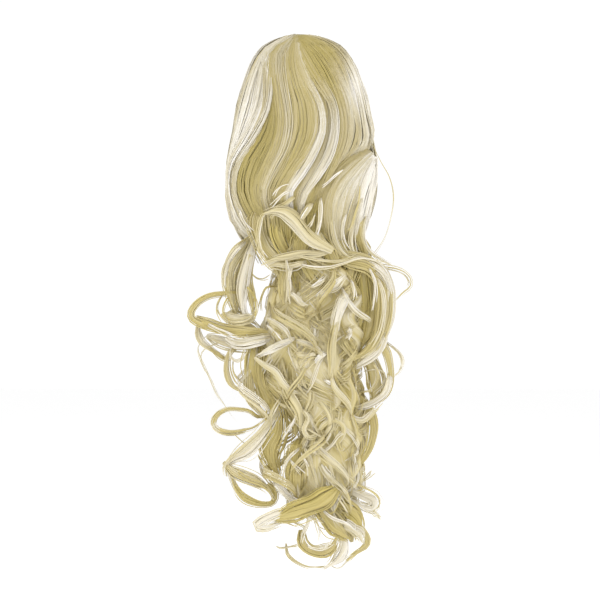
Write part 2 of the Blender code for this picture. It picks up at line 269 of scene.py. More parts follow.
# The coils in the middle of the tail's front, then those of its back.
COIL_ROWS = tuple(CoilRow(*row) for row in (
    (-48, -34, -258, -42, -37, -362, 15, 0.8, 1.3, 200, 0.2, 9.5),
    (-8, -54, -188, 0, -56, -290, 18, 0.8, 1.3, 200, 0.3, 9.0),
    (28, -54, -184, 42, -54, -282, 16, 0.8, -1.2, 160, 0.25, 9.0),
    (2, -50, -280, 8, -46, -392, 18, 0.8, -1.4, 120, 0.3, 8.5),
    (36, -48, -290, 32, -42, -400, 16, 0.8, 1.5, 30, 0.25, 8.5),
    (-18, -32, -356, -20, -32, -420, 17, 0.8, 1.2, 180, 0.35, 7.5),
    (-22, 10, -180, -30, 14, -300, 14, 0.8, -1.6, 45, 0.15, 9.0),
    (-6, 22, -178, -20, 26, -310, 17, 0.8, 1.5, 160, 0.15, 9.5),
    (34, 22, -178, 26, 26, -320, 16, 0.8, -1.6, 280, 0.15, 9.5),
    (64, 8, -182, 62, 12, -300, 14, 0.8, 1.4, 70, 0.15, 9.0),
    (-14, 4, -300, -28, 2, -408, 16, 0.8, -1.4, 10, 0.2, 8.5),
    (34, 12, -316, 36, 0, -424, 16, 0.8, 1.4, 200, 0.2, 8.5),
))

# Curls on the left, at the bottom, on the right and in the middle.
# Their tones are partly the hair's own and partly painted light: the palest short strokes are painted
# highlights, and the darkest broad bands painted shade between the curls.
STROKE_ROWS = tuple(StrokeRow(*row) for row in (
    (6.5, 0.45, -30, -28, 12, (-48, -59, -67, -71, -71, -68, -63),
     (-150, -161, -173, -186, -200, -214, -226)),
    (5.5, 0.85, -36, -34, 12, (-46, -50, -54, -57, -58, -56, -49),
     (-152, -168, -182, -196, -210, -224, -234)),
    (4.0, 0.35, -33, -33, 12, (-44, -48, -50, -51, -49, -47, -47),
     (-156, -170, -184, -196, -208, -220, -232)),
    (0.9, 0.45, -30, -30, 30, (-50, -44, -37, -29), (-182, -189, -191, -188)),
    (1.3, 0.25, -30, -30, 30, (-24, -33, -37, -40, -40), (-198, -199, -205, -214, -224)),
    (3.6, 0.25, -30, -40, 30, (-48, -62, -76, -90, -101, -108, -107, -96, -81, -64, -42),
     (-202, -205, -206, -208, -214, -223, -231, -237, -242, -246, -248)),
    (5.0, 0.22, -36, -38, 12, (-104, -90, -73, -54, -32), (-230, -236, -241, -243, -244)),
    (1.0, 0.4, -34, -40, 40, (-78, -82, -81, -76), (-208, -217, -225, -234)),
    (1.6, 0.95, -46, -46, 20, (-92, -82, -74, -66), (-236, -241, -245, -249)),
    (3.0, 0.7, -20, -24, 30, (-102, -102, -98, -88, -78, -69), (-232, -245, -254, -262, -269, -273)),
    (1.3, 0.2, -22, -26, 30, (-96, -86, -78, -71), (-256, -263, -270, -273)),
    (6.5, 0.9, -42, -38, 8, (-28, -42, -55, -66, -74), (-248, -252, -254, -254, -250)),
    (1.4, 0.85, -34, -34, 30, (-67, -69, -64, -57, -53), (-257, -266, -272, -269, -260)),
    (3.6, 0.5, -30, -30, 20, (-60, -70, -73, -72, -67, -58, -46),
     (-257, -265, -276, -288, -297, -302, -307)),
    (1.1, 0.45, -32, -30, 30, (-67, -67, -62, -54), (-272, -283, -291, -296)),
    (6.0, 0.45, -28, -26, 12, (-36, -46, -49, -50, -47, -37, -27),
     (-246, -262, -278, -294, -310, -326, -342)),
    (2.2, 0.3, -16, -26, 30, (-30, -42, -51, -62, -73, -82, -86, -82, -70, -56, -44, -28),
     (-328, -330, -324, -322, -322, -327, -334, -341, -344, -342, -338, -326)),
    (2.8, 0.85, -20, -18, 20, (-76, -84, -87, -83, -70, -54), (-323, -328, -335, -342, -346, -343)),
    (6.5, 0.75, -38, -30, 12, (-20, -32, -43, -54, -65, -74, -73),
     (-320, -338, -352, -362, -369, -378, -388)),
    (6.0, 0.6, -34, -34, 12, (-76, -66, -54, -42, -32, -26), (-374, -383, -388, -393, -401, -411)),
    (3.6, 0.2, -26, -30, 12, (-32, -24, -27, -38, -50, -59, -65, -68),
     (-396, -405, -415, -417, -414, -408, -399, -390)),
    (12.0, 0.15, -30, -28, 6, (-28, -24, -24, -29, -28, -21), (-306, -324, -342, -358, -372, -389)),
    (1.0, 0.2, -32, -32, 30, (-42, -36, -29, -20), (-367, -376, -383, -391)),
    (1.3, 0.85, -42, -42, 12, (1, -8, -14, -17, -18), (-358, -365, -374, -386, -398)),
    (2.6, 0.7, -44, -42, 12, (4, 10, 14, 19), (-358, -370, -384, -400)),
    (3.6, 0.95, -38, -38, 12, (-26, -17, -10, -1), (-390, -401, -409, -412)),
    (2.6, 0.85, -33, -30, 20, (-54, -65, -72, -75, -74), (-154, -164, -176, -190, -203)),
    (5.0, 0.12, -26, -26, 10, (-54, -61, -65, -66, -63), (-166, -184, -202, -216, -228)),
    (0.9, 0.1, -39, -38, 20, (-54, -48, -44, -43, -46), (-198, -204, -213, -223, -233)),
    (1.3, 0.2, -34, -40, 40, (-70, -75, -75, -70), (-208, -218, -226, -234)),
    (5.5, 0.6, -37, -37, 10, (-78, -66, -54, -44), (-226, -231, -231, -226)),
    (10.0, 0.04, -46, -44, 8, (38, 20, 4, -12, -30), (-398, -411, -418, -424, -430)),
    (4.8, 0.9, -46, -42, 8, (-8, -24, -37, -42, -32, -18), (-420, -424, -430, -435, -437, -433)),
    (1.8, 0.6, -34, -30, 20, (-40, -28, -16, -4, 8), (-439, -437, -432, -435, -441)),
    (6.0, 0.35, -34, -34, 12, (2, 3, 12, 24, 33, 37), (-442, -454, -461, -462, -457, -446)),
    (1.4, 0.85, -38, -34, 20, (12, 15, 18, 20), (-420, -432, -442, -452)),
    (1.6, 0.8, -36, -36, 20, (9, 8, 4, 2), (-422, -434, -444, -454)),
    (9.0, 0.18, -30, -28, 8, (18, 34, 48, 58, 62), (-410, -414, -420, -430, -442)),
    (2.8, 0.3, -28, -28, 20, (50, 61, 67, 65, 56, 46), (-430, -439, -450, -458, -464, -473)),
    (5.5, 0.92, -32, -30, 10, (40, 45, 43, 35, 24), (-440, -453, -465, -474, -481)),
    (1.3, 0.6, -28, -28, 30, (-14, -13, -7, 3, 14, 28), (-456, -465, -472, -477, -479, -479)),
    (0.7, 0.7, -28, -28, 30, (-24, -12, 2), (-459, -459, -456)),
    (1.5, 0.3, -40, -38, 12, (-64, -52, -40, -29), (-380, -389, -394, -403)),
    (2.6, 0.8, -24, -26, 12, (-71, -68, -64, -57), (-380, -392, -401, -410)),
    (0.9, 0.95, -44, -40, 12, (-3, -6, -13, -20), (-320, -332, -342, -351)),
    (1.6, 0.7, -46, -42, 12, (-18, -23, -27, -30), (-308, -316, -324, -336)),
    (0.8, 0.95, -46, -44, 12, (-10, -3, 3), (-370, -378, -385)),
    (0.9, 0.95, -48, -46, 12, (1, 7, 10), (-363, -373, -385)),
    (3.0, 0.68, -42, -42, 12, (16, 24, 34, 47), (-364, -380, -391, -403)),
    (2.6, 0.6, -42, -40, 12, (22, 32, 44, 56), (-358, -374, -384, -394)),
    (11.0, 0.18, -34, -34, 6, (2, -3, -4, 0), (-352, -372, -390, -408)),
    (12.0, 0.42, -32, -32, 6, (18, 22, 30, 40), (-348, -370, -390, -408)),
    (12.0, 0.32, -28, -28, 6, (46, 48, 44, 36), (-336, -358, -378, -396)),
    (1.2, 0.85, -40, -40, 20, (6, 16, 26, 33), (-456, -459, -458, -452)),
    (9.0, 0.28, -36, -34, 8, (18, 28, 38, 50), (-416, -428, -440, -450)),
    (1.6, 0.95, -42, -40, 12, (22, 32, 42, 50, 60), (-420, -427, -431, -435, -443)),
    (4.5, 0.72, -36, -34, 10, (40, 52, 60, 62), (-434, -440, -447, -454)),
    (11.0, 0.42, -26, -26, 6, (26, 38, 48, 52), (-406, -422, -437, -454)),
    (7.0, 0.3, -28, -28, 6, (12, 22, 32, 38), (-412, -424, -436, -450)),
    (5.0, 0.9, -30, -26, 10, (34, 50, 63, 74, 73, 62, 48), (-390, -399, -405, -411, -420, -418, -410)),
    (1.4, 0.75, -28, -26, 20, (52, 62, 72, 81), (-410, -420, -423, -430)),
    (1.0, 0.6, -28, -28, 20, (40, 52, 60, 64), (-396, -389, -382, -376)),
    (1.0, 0.5, -24, -24, 20, (52, 64, 74), (-394, -392, -383)),
    (1.0, 0.7, -26, -26, 30, (46, 56, 66, 58), (-382, -378, -386, -393)),
    (5.5, 0.2, -24, -24, 15, (50, 67, 73, 71, 64, 50), (-302, -319, -336, -354, -370, -386)),
    (8.0, 0.38, -44, -34, 12, (22, 48, 68, 80, 83, 82, 76, 64, 44),
     (-164, -172, -178, -192, -212, -232, -252, -266, -275)),
    (1.2, 0.95, -50, -48, 12, (68, 74, 74, 72), (-180, -194, -208, -224)),
    (2.6, 0.62, -32, -30, 30, (60, 82, 90, 91, 88, 80, 66), (-166, -179, -196, -214, -236, -258, -272)),
    (1.1, 0.4, -26, -26, 30, (72, 85, 96, 105, 111, 110, 102, 92),
     (-174, -178, -180, -184, -191, -199, -205, -215)),
    (0.8, 0.65, -26, -26, 30, (74, 88, 99, 106, 108, 100), (-178, -181, -184, -189, -196, -204)),
    (1.4, 0.85, -26, -26, 30, (84, 93, 100, 102, 98, 91), (-252, -259, -266, -275, -284, -290)),
    (3.8, 0.35, -30, -26, 12, (76, 86, 90, 91, 86, 76, 62), (-246, -262, -276, -292, -306, -315, -320)),
    (1.1, 0.55, -30, -30, 20, (60, 70, 76, 77, 72), (-304, -302, -294, -285, -276)),
    (1.0, 0.6, -28, -28, 20, (64, 74, 84, 83, 74), (-284, -282, -285, -296, -306)),
    (4.0, 0.85, -32, -28, 15, (90, 86, 76, 60, 44), (-284, -302, -313, -320, -320)),
    (0.9, 0.25, -34, -28, 20, (48, 63, 74, 80, 78, 70), (-392, -398, -404, -412, -420, -424)),
    (3.6, 0.92, -42, -38, 12, (50, 64, 77, 86, 91), (-170, -173, -180, -191, -206)),
    (1.6, 0.85, -48, -46, 12, (76, 82, 83, 79, 70), (-188, -206, -224, -244, -258)),
    (4.4, 0.85, -36, -30, 12, (86, 78, 64, 48), (-244, -262, -273, -282)),
    (1.8, 0.82, -64, -42, 20, (-4, 12, 28, 43, 60, 78, 93), (-176, -180, -180, -176, -171, -174, -182)),
    (1.8, 0.6, -64, -52, 20, (-6, 18, 40, 60), (-168, -173, -174, -167)),
    (6.4, 0.66, -68, -62, 8, (32, 26, 18, 9, 1, -7, -16, -26, -36),
     (-164, -161, -157, -151, -142, -132, -126, -125, -128)),
    (1.5, 0.62, -68, -60, 20, (-30, -36, -39, -41, -39, -34), (-126, -129, -138, -151, -164, -178)),
    (4.2, 0.62, -62, -56, 10, (31, 19, 3, -12, -26, -38), (-163, -166, -166, -169, -172, -178)),
    (0.8, 1.0, -74, -72, 20, (-7, -15, -22, -29), (-105, -108, -114, -121)),
    (0.9, 1.0, -74, -72, 20, (-10, -18, -24, -28), (-99, -101, -107, -115)),
    (0.6, 0.9, -73, -69, 20, (8, 3, -1), (-121, -127, -133)),
    (1.0, 1.0, -50, -48, 20, (-60, -56, -47), (-122, -133, -145)),
    (1.7, 0.8, -68, -60, 10, (20, 20, 19, 15, 11), (-112, -124, -136, -148, -158)),
    (0.7, 0.8, -66, -62, 10, (15, 12, 7), (-127, -136, -144)),
    (0.8, 0.95, -74, -70, 20, (42, 34, 27, 20), (-85, -91, -97, -102)),
    (2.6, 0.7, -44, -36, 12, (62, 56, 52, 51, 56, 68), (-108, -126, -142, -156, -168, -176)),
    (1.4, 0.85, -40, -30, 20, (66, 63, 67, 78, 94), (-128, -146, -160, -170, -180)),
    (3.6, 0.62, -54, -44, 10, (32, 31, 34, 41, 53), (-118, -136, -152, -164, -174)),
    (0.7, 0.3, -60, -52, 12, (59, 58, 54, 50, 43), (-100, -114, -128, -140, -148)),
    (4.6, 0.88, -60, -58, 6, (46, 40, 36, 34), (-206, -219, -231, -246)),
    (2.0, 0.88, -58, -50, 12, (41, 47, 56, 70), (-200, -213, -224, -233)),
    (3.8, 0.9, -52, -50, 10, (-4, -19, -32, -43), (-249, -255, -261, -267)),
    (2.6, 0.7, -56, -54, 10, (-4, 8, 18, 24), (-252, -256, -262, -268)),
    (2.2, 0.72, -54, -50, 10, (-45, -34, -24, -17, -8, 3), (-269, -277, -283, -294, -302, -306)),
    (1.5, 0.78, -56, -50, 10, (27, 19, 15, 11, 6), (-263, -274, -285, -297, -306)),
    (2.4, 0.72, -56, -54, 10, (-32, -21, -13, -8), (-230, -237, -244, -253)),
    (1.6, 0.8, -48, -44, 10, (8, 20, 30, 37, 48), (-360, -363, -356, -346, -339)),
    (2.0, 0.55, -46, -44, 10, (18, 22, 34, 44, 40, 28), (-348, -336, -330, -338, -352, -360)),
    (2.6, 0.62, -42, -40, 10, (46, 50, 62, 72, 82), (-316, -328, -332, -324, -314)),
    (2.2, 0.7, -48, -46, 10, (0, 8, 4, 9, 18), (-318, -328, -340, -348, -346)),
    (2.2, 0.8, -60, -58, 10, (-10, -3, 2, 8), (-204, -211, -216, -217)),
    (1.3, 0.85, -60, -58, 10, (10, 19, 27), (-200, -195, -188)),
    (3.4, 0.88, -60, -58, 10, (16, 26, 36, 44), (-209, -202, -196, -188)),
    (1.3, 0.7, -60, -56, 10, (-14, -12, -11, -12), (-170, -184, -200, -216)),
    (3.8, 0.5, -58, -52, 6, (38, 33, 31, 32), (-226, -246, -266, -290)),
    (0.9, 1.0, -58, -56, 10, (-33, -25, -17), (-237, -243, -251)),
    (2.2, 0.65, -54, -54, 10, (-4, 6, 16), (-265, -267, -265)),
    (1.2, 0.85, -60, -58, 10, (50, 53, 54), (-192, -202, -212)),
    (2.0, 1.0, -54, -54, 10, (14, 19, 27), (-276, -269, -263)),
    (1.6, 1.0, -50, -50, 10, (20, 26, 32), (-291, -292, -295)),
    (1.4, 1.0, -54, -54, 10, (48, 49, 47), (-239, -245, -251)),
    (5.0, 0.42, -54, -52, 8, (-18, -13, -16, -16), (-168, -180, -196, -216)),
    (4.0, 0.55, -50, -46, 8, (-18, -10, -1, 0), (-292, -306, -322, -342)),
    (3.0, 0.62, -48, -46, 8, (12, 26, 30, 20), (-304, -320, -336, -352)),
    (3.4, 0.7, -58, -54, 10, (6, -4, -14, -24, -32), (-174, -178, -179, -178, -180)),
    (2.2, 0.78, -58, -54, 10, (-8, -11, -12, -10), (-178, -188, -202, -216)),
    (2.6, 0.6, -66, -60, 8, (12, 4, -1, -3), (-116, -128, -138, -148)),
    (2.2, 0.55, -66, -60, 8, (-4, -14, -23, -30), (-110, -118, -124, -132)),
    (1.2, 0.9, -52, -44, 12, (46, 42, 43, 50), (-124, -140, -154, -166)),
    (11.0, 0.28, -26, -26, 6, (-40, -43, -43, -37, -26), (-248, -266, -284, -304, -322)),
    (7.0, 0.82, -22, -22, 8, (-50, -56, -60, -60, -56), (-168, -184, -200, -216, -228)),
    (5.0, 0.8, -20, -22, 8, (-94, -78, -60, -42), (-248, -254, -259, -262)),
    (8.0, 0.45, -24, -24, 8, (-72, -60, -46, -32), (-224, -234, -242, -246)),
    (7.0, 0.35, -28, -28, 10, (-38, -20, -8, -4), (-292, -308, -326, -348)),
    (13.0, 0.05, -30, -28, 6, (52, 60, 61, 57, 52), (-164, -190, -216, -242, -264)),
    (9.0, 0.22, -26, -26, 6, (68, 73, 73, 68, 58), (-176, -196, -220, -244, -264)),
    (8.0, 0.4, -24, -24, 6, (62, 72, 76, 72), (-262, -280, -300, -320)),
    (8.0, 0.4, -40, -44, 10, (-38, -42, -34, -20, -14), (-118, -140, -160, -178, -202)),
    (8.0, 0.15, -42, -46, 10, (-16, -22, -16, -4, 0), (-122, -142, -162, -182, -206)),
    (8.0, 0.15, -44, -48, 10, (4, 12, 2, 10, 22), (-118, -140, -162, -184, -204)),
    (8.0, 0.25, -44, -46, 10, (22, 18, 30, 34, 28), (-126, -148, -166, -186, -208)),
    (8.0, 0.3, -38, -40, 10, (44, 40, 50, 48, 40), (-128, -150, -170, -192, -212)),
    (7.0, 0.3, -26, -24, 10, (62, 58, 64, 72), (-122, -146, -164, -182)),
))

STRAY_ROWS = tuple(StrokeRow(*row) for row in (
    (0.5, 0.5, -16, -20, 45, (72, 81, 90, 94, 92, 84, 68), (-52, -72, -88, -106, -126, -152, -174)),
    (0.9, 0.45, -26, -26, 45, (-76, -87, -95, -99, -98, -92, -87, -83, -76, -64),
     (-253, -257, -261, -267, -276, -287, -299, -308, -318, -336)),
    (0.5, 0.5, -24, -26, 45, (-74, -64, -54, -44), (-342, -348, -356, -358)),
    (0.5, 0.5, -24, -26, 45, (86, 98, 104, 100, 88), (-256, -262, -272, -284, -292)),
    (0.5, 0.5, -24, -26, 45, (-94, -102, -96, -86), (-248, -260, -278, -298)),
    (0.5, 0.6, -26, -26, 45, (30, 40, 50, 56), (-478, -480, -470, -460)),
    (0.5, 0.6, -26, -26, 45, (66, 76, 82), (-412, -424, -432)),
))


@dataclass
class Guide:
    """The middle line of one lock in metres, and the frame that its fibres are laid out in."""

    path: np.ndarray
    side: np.ndarray
    out: np.ndarray
    half_width: np.ndarray
    half_thick: np.ndarray
    tone: np.ndarray
    copies: int

    def along(self) -> np.ndarray:
        """How far each point lies along the line, from 0 to 1."""
        return np.linspace(0.0, 1.0, len(self.path))


def smooth_step(value: np.ndarray | float) -> np.ndarray:
    """Rises from 0 to 1 with level ends."""
    t = np.clip(value, 0.0, 1.0)
    return t * t * (3 - 2 * t)


def unit(vectors: np.ndarray) -> np.ndarray:
    """Each row of an array at length 1."""
    return vectors / np.maximum(np.linalg.norm(vectors, axis=-1, keepdims=True), 1e-9)


def tangents(path: np.ndarray) -> np.ndarray:
    """The direction of a line at each of its points."""
    return unit(np.gradient(path, axis=0))


def flow(rows: np.ndarray, at: np.ndarray) -> np.ndarray:
    """Smooth values between the rows of a table.

    Args:
        rows: One row of numbers for each level.
        at: Places counted in rows, whole or not.

    Returns:
        One row for each place, on a curve through the table's rows.
    """
    first = np.clip(np.floor(at).astype(int), 0, len(rows) - 2)
    t = (at - first)[:, None]
    p0 = rows[np.maximum(first - 1, 0)]
    p1, p2 = rows[first], rows[first + 1]
    p3 = rows[np.minimum(first + 2, len(rows) - 1)]
    bend = 2 * p0 - 5 * p1 + 4 * p2 - p3
    twist = 3 * (p1 - p2) + p3 - p0
    return 0.5 * (2 * p1 + (p2 - p0) * t + bend * t**2 + twist * t**3)


def wander(t: np.ndarray, size: float, rng: Rng) -> np.ndarray:
    """A slow swing of the given size along a line."""
    return size * np.sin(2 * math.pi * (rng.uniform(0.8, 1.8) * t + rng.uniform()))


def laid_flat(
    path: np.ndarray,
    flat: np.ndarray,
    width: float,
    tone: np.ndarray | float,
    copies: int,
    rng: Rng,
) -> Guide:
    """Lays a lock along a path in mm like a ribbon.

    Args:
        path: The lock's middle line.
        flat: The direction that the ribbon's breadth leans to at each point.
        width: Half of its breadth.
        tone: How pale it is, along the lock or all over.
        copies: How many strands it has.
        rng: Source of the small differences between locks.

    Returns:
        The guide, in metres.
    """
    t = np.linspace(0, 1, len(path))
    ahead = tangents(path)
    side = unit(flat - ahead * (flat * ahead).sum(1, keepdims=True))
    out = np.cross(ahead, side)
    shape = (0.45 + 0.55 * smooth_step(4 * t)) * (0.2 + 0.8 * smooth_step(2.4 * (1 - t)))
    shape *= 1 + wander(t, 0.12, rng)
    tones = np.broadcast_to(tone, len(path)) + rng.uniform(-0.05, 0.05)
    return Guide(
        path=path * MM,
        side=side,
        out=out,
        half_width=width * MM * shape,
        half_thick=width * MM * (0.32 * shape + 0.03),
        tone=np.clip(tones, 0.03, 0.97),
        copies=max(3, copies),
    )


def coil_path(row: CoilRow) -> tuple[np.ndarray, np.ndarray]:
    """The middle line of a coil in mm, and the direction of the coil's axis."""
    count = int(np.clip(10 + 15 * abs(row.turns), 16, 36))
    t = np.linspace(0, 1, count)
    start = np.array([row.x1, row.y1, row.z1])
    end = np.array([row.x2, row.y2, row.z2])
    axis = (end - start) / np.linalg.norm(end - start)
    across = np.cross(axis, [0, -1, 0])
    across /= np.linalg.norm(across)
    facing = np.cross(across, axis)
    tilted = facing * row.deep * math.sqrt(1 - row.open**2) - axis * row.open
    turn = math.radians(row.start) + 2 * math.pi * row.turns * t
    reach = row.radius * (0.35 + 0.65 * smooth_step(3 * t))
    ring = np.outer(np.cos(turn), across) + np.outer(np.sin(turn), tilted)
    path = start + np.outer(t, end - start) + ring * reach[:, None]
    return path, np.cross(across, tilted)


@dataclass
class CrownForm:
    """The form of the short top layer: a dome that widens to a skirt."""

    parting: tuple[float, float] = (-3.0, -2.0)
    bare_above: float = 54.0
    side_gap: float = 1.5
    rows: np.ndarray = field(init=False)

    def __post_init__(self) -> None:
        """Reads the table of levels."""
        self.rows = np.array([[r.z, r.left, r.right, r.front, r.back] for r in CROWN_ROWS], float)

    def level(self, z: np.ndarray) -> np.ndarray:
        """The place in the table of each height, counted in rows."""
        heights = self.rows[::-1, 0]
        return np.interp(z, heights, np.arange(len(heights))[::-1])

    def front(self, x: np.ndarray, z: np.ndarray) -> np.ndarray:
        """The depth of the front at points of the front view."""
        _, left, right, front, _ = flow(self.rows, self.level(z)).T
        share = np.clip(x / np.where(x < 0, left, right), -0.97, 0.97)
        return -front * np.sqrt(1 - share**2)

    def edge(self, line: np.ndarray, turn: int) -> np.ndarray:
        """The line moved out to the form's left edge, with turn -1, or its right edge."""
        _, left, right, _, _ = flow(self.rows, self.level(line[:, 1])).T
        x, z = line.T
        gap = self.side_gap
        out = np.minimum(gap - left, x) if turn < 0 else np.maximum(right - gap, x)
        return np.stack([np.where(z > self.bare_above, x, out), z], 1)

    def around(self, angle: np.ndarray, level: np.ndarray, lift: np.ndarray) -> np.ndarray:
        """Points on the form by angle, 0 to the right and 270 degrees to the front, in mm."""
        z, left, right, front, back = flow(self.rows, level).T
        c, s = np.cos(angle), np.sin(angle)
        side = left + (right - left) * smooth_step((c + 0.35) / 0.7)
        depth = np.where(s < 0, front, back)
        top = np.clip(1 - level, 0, 1) ** 2
        x = (side + lift) * c + self.parting[0] * top
        y = (depth + lift) * s + self.parting[1] * top
        return np.stack([x, y, z], 1)


@dataclass
class FlowSheet:
    """A smooth sheet of hair on the crown's front, made of lines that flow together."""

    form: CrownForm
    table: tuple[FlowRow, ...]
    root: bool
    wrapped: tuple[int, ...] = ()
    fine: int = 4
    length: int = 40
    inset: float = 0.7
    edge_shade: float = 0.8
    hem_sunk: float = 5.0
    hem_drawn_in: float = 0.06
    root_z: float = 56.4
    backing: float = 2.2
    through: np.ndarray = field(init=False)
    values: np.ndarray = field(init=False)

    def __post_init__(self) -> None:
        """Reads the table; sheets that begin at the parting get their root points."""
        lines = [np.array([row.x, row.z], float).T for row in self.table]
        values = [[r.sink, r.top, r.middle, r.low, 0] for r in self.table]
        if self.root:
            px = self.form.parting[0]
            lines = [np.vstack([[px + 0.55 * (p[0, 0] - px), self.root_z], p]) for p in lines]
        if -1 in self.wrapped:
            lines = [self.form.edge(lines[0], -1), *lines]
            values = [self.edge_values(values[0]), *values]
        if 1 in self.wrapped:
            lines = [*lines, self.form.edge(lines[-1], 1)]
            values = [*values, self.edge_values(values[-1])]
        self.through = np.array(lines)
        self.values = np.array(values, float)

    def edge_values(self, values: list[float]) -> list[float]:
        """The values of a line that wraps round the form's side, from those of its neighbour."""
        return [values[0], *(self.edge_shade * tone for tone in values[1:4]), 1]

    def line(self, place: float, count: int, lift: float = 0.0) -> tuple[np.ndarray, np.ndarray]:
        """The line at a place between the rows.

        Args:
            place: Which line, counted in rows.
            count: How many points.
            lift: How far it stands out of the sheet, in mm.

        Returns:
            The line's points in mm, and the tone at each.
        """
        k = min(int(place), len(self.through) - 2)
        share = place - k
        t = np.linspace(0, 1, count)
        at = t * (self.through.shape[1] - 1)
        a, b = (flow(self.through[i], at) for i in (k, k + 1))
        x, z = (a + (b - a) * share).T
        mixed = self.values[k] + (self.values[k + 1] - self.values[k]) * share
        sink, top, middle, low, edge = mixed
        tone = np.interp(t, (0.0, 0.3, 0.55, 0.8, 1.0), (top, top, middle, low, low))
        grown = smooth_step((t - 0.25) / 0.3) if self.root else 1.0
        depth = sink * grown + self.hem_sunk * smooth_step((t - 0.88) / 0.12)
        # The tone darkens over the line's last stretch, where it sinks at the hem: painted shade.
        tone = tone * (1 - 0.3 * smooth_step((t - 0.92) / 0.08))
        top_y = self.form.parting[1] * (1 - smooth_step(t * 8)) if self.root else 0.0
        y = self.form.front(x, z) * self.gather(t) * (1 - edge) + top_y
        normal = np.stack([x / 75, np.minimum(y / 70, -0.05)], 1)
        normal = unit(normal) * (lift * smooth_step(6 * t) - depth)[:, None]
        return np.stack([x + normal[:, 0], y + normal[:, 1], z], 1), tone

    def gather(self, t: np.ndarray) -> np.ndarray:
        """How the sheet draws in at its hem, as a share of its depth."""
        return 1 - self.hem_drawn_in * smooth_step((t - 0.85) / 0.15)

    def frame(self, place: float, count: int, lift: float) -> tuple[np.ndarray, np.ndarray, np.ndarray]:
        """A line with the direction across the sheet at each of its points, and its tone."""
        path, tone = self.line(place, count, lift)
        low = max(place - 0.3, 0.0)
        high = min(place + 0.3, len(self.through) - 1.0)
        across = self.line(high, count, lift)[0] - self.line(low, count, lift)[0]
        return path, across, tone

    def guides(self, each: int, copies: int, width: float, rng: Rng) -> list[Guide]:
        """Locks of strands over the sheet.

        Args:
            each: How many there are for each row of the table.
            copies: How many strands each has.
            width: Half the breadth of each, in mm.
            rng: Source of the small differences.

        Returns:
            The guides, with their strands' side outwards.
        """
        made = []
        last = len(self.through) - 1
        total = last * each + 1
        for k in range(total):
            place = float(np.clip(k / each + rng.uniform(-0.4, 0.4) / each, 0.2, last - 0.2))
            path, across, tone = self.frame(place, GUIDE_POINTS, rng.uniform(0.0, 1.0))
            t = np.linspace(0, 1, len(path))
            path = path + unit(across) * wander(t, rng.uniform(0.3, 1.4), rng)[:, None]
            pale = rng.choice([0.0, 0.0, 0.12, -0.08]) * smooth_step(2.5 * tone)
            guide = laid_flat(path, across, width * rng.uniform(0.7, 1.2), tone + pale, copies, rng)
            if self.root:
                guide.half_width *= 0.3 + 0.7 * smooth_step(4 * t)
            guide.half_thick *= 0.6 * (0.3 + 0.7 * smooth_step(6 * t))
            made.append(facing_out(guide))
        return made

    def mesh_rings(self) -> tuple[np.ndarray, np.ndarray]:
        """The closed rings of the sheet's mesh in mm from top to hem, and the tone of each corner."""
        last = len(self.through) - 1
        places = np.linspace(0, last, last * self.fine + 1)
        lines = [self.line(p, self.length, -self.inset) for p in places]
        outer = np.array([path for path, _ in lines]).transpose(1, 0, 2)
        tones = np.array([tone for _, tone in lines]).T
        inner = outer * (0.985, 1, 1) + (0, self.backing, 0)
        inner[[0, -1]] = outer[[0, -1]]
        rings = np.concatenate([outer, inner[:, ::-1]], 1)
        return rings, np.concatenate([tones, tones[:, ::-1]], 1)


def facing_out(guide: Guide) -> Guide:
    """Turns a guide's frame so that its out direction points away from the middle of the crown."""
    away = guide.path * (1, 1, 0) - np.array([0, -0.01, 0])
    if float((guide.out * away).sum()) < 0:
        guide.side = -guide.side
        guide.out = -guide.out
    return guide


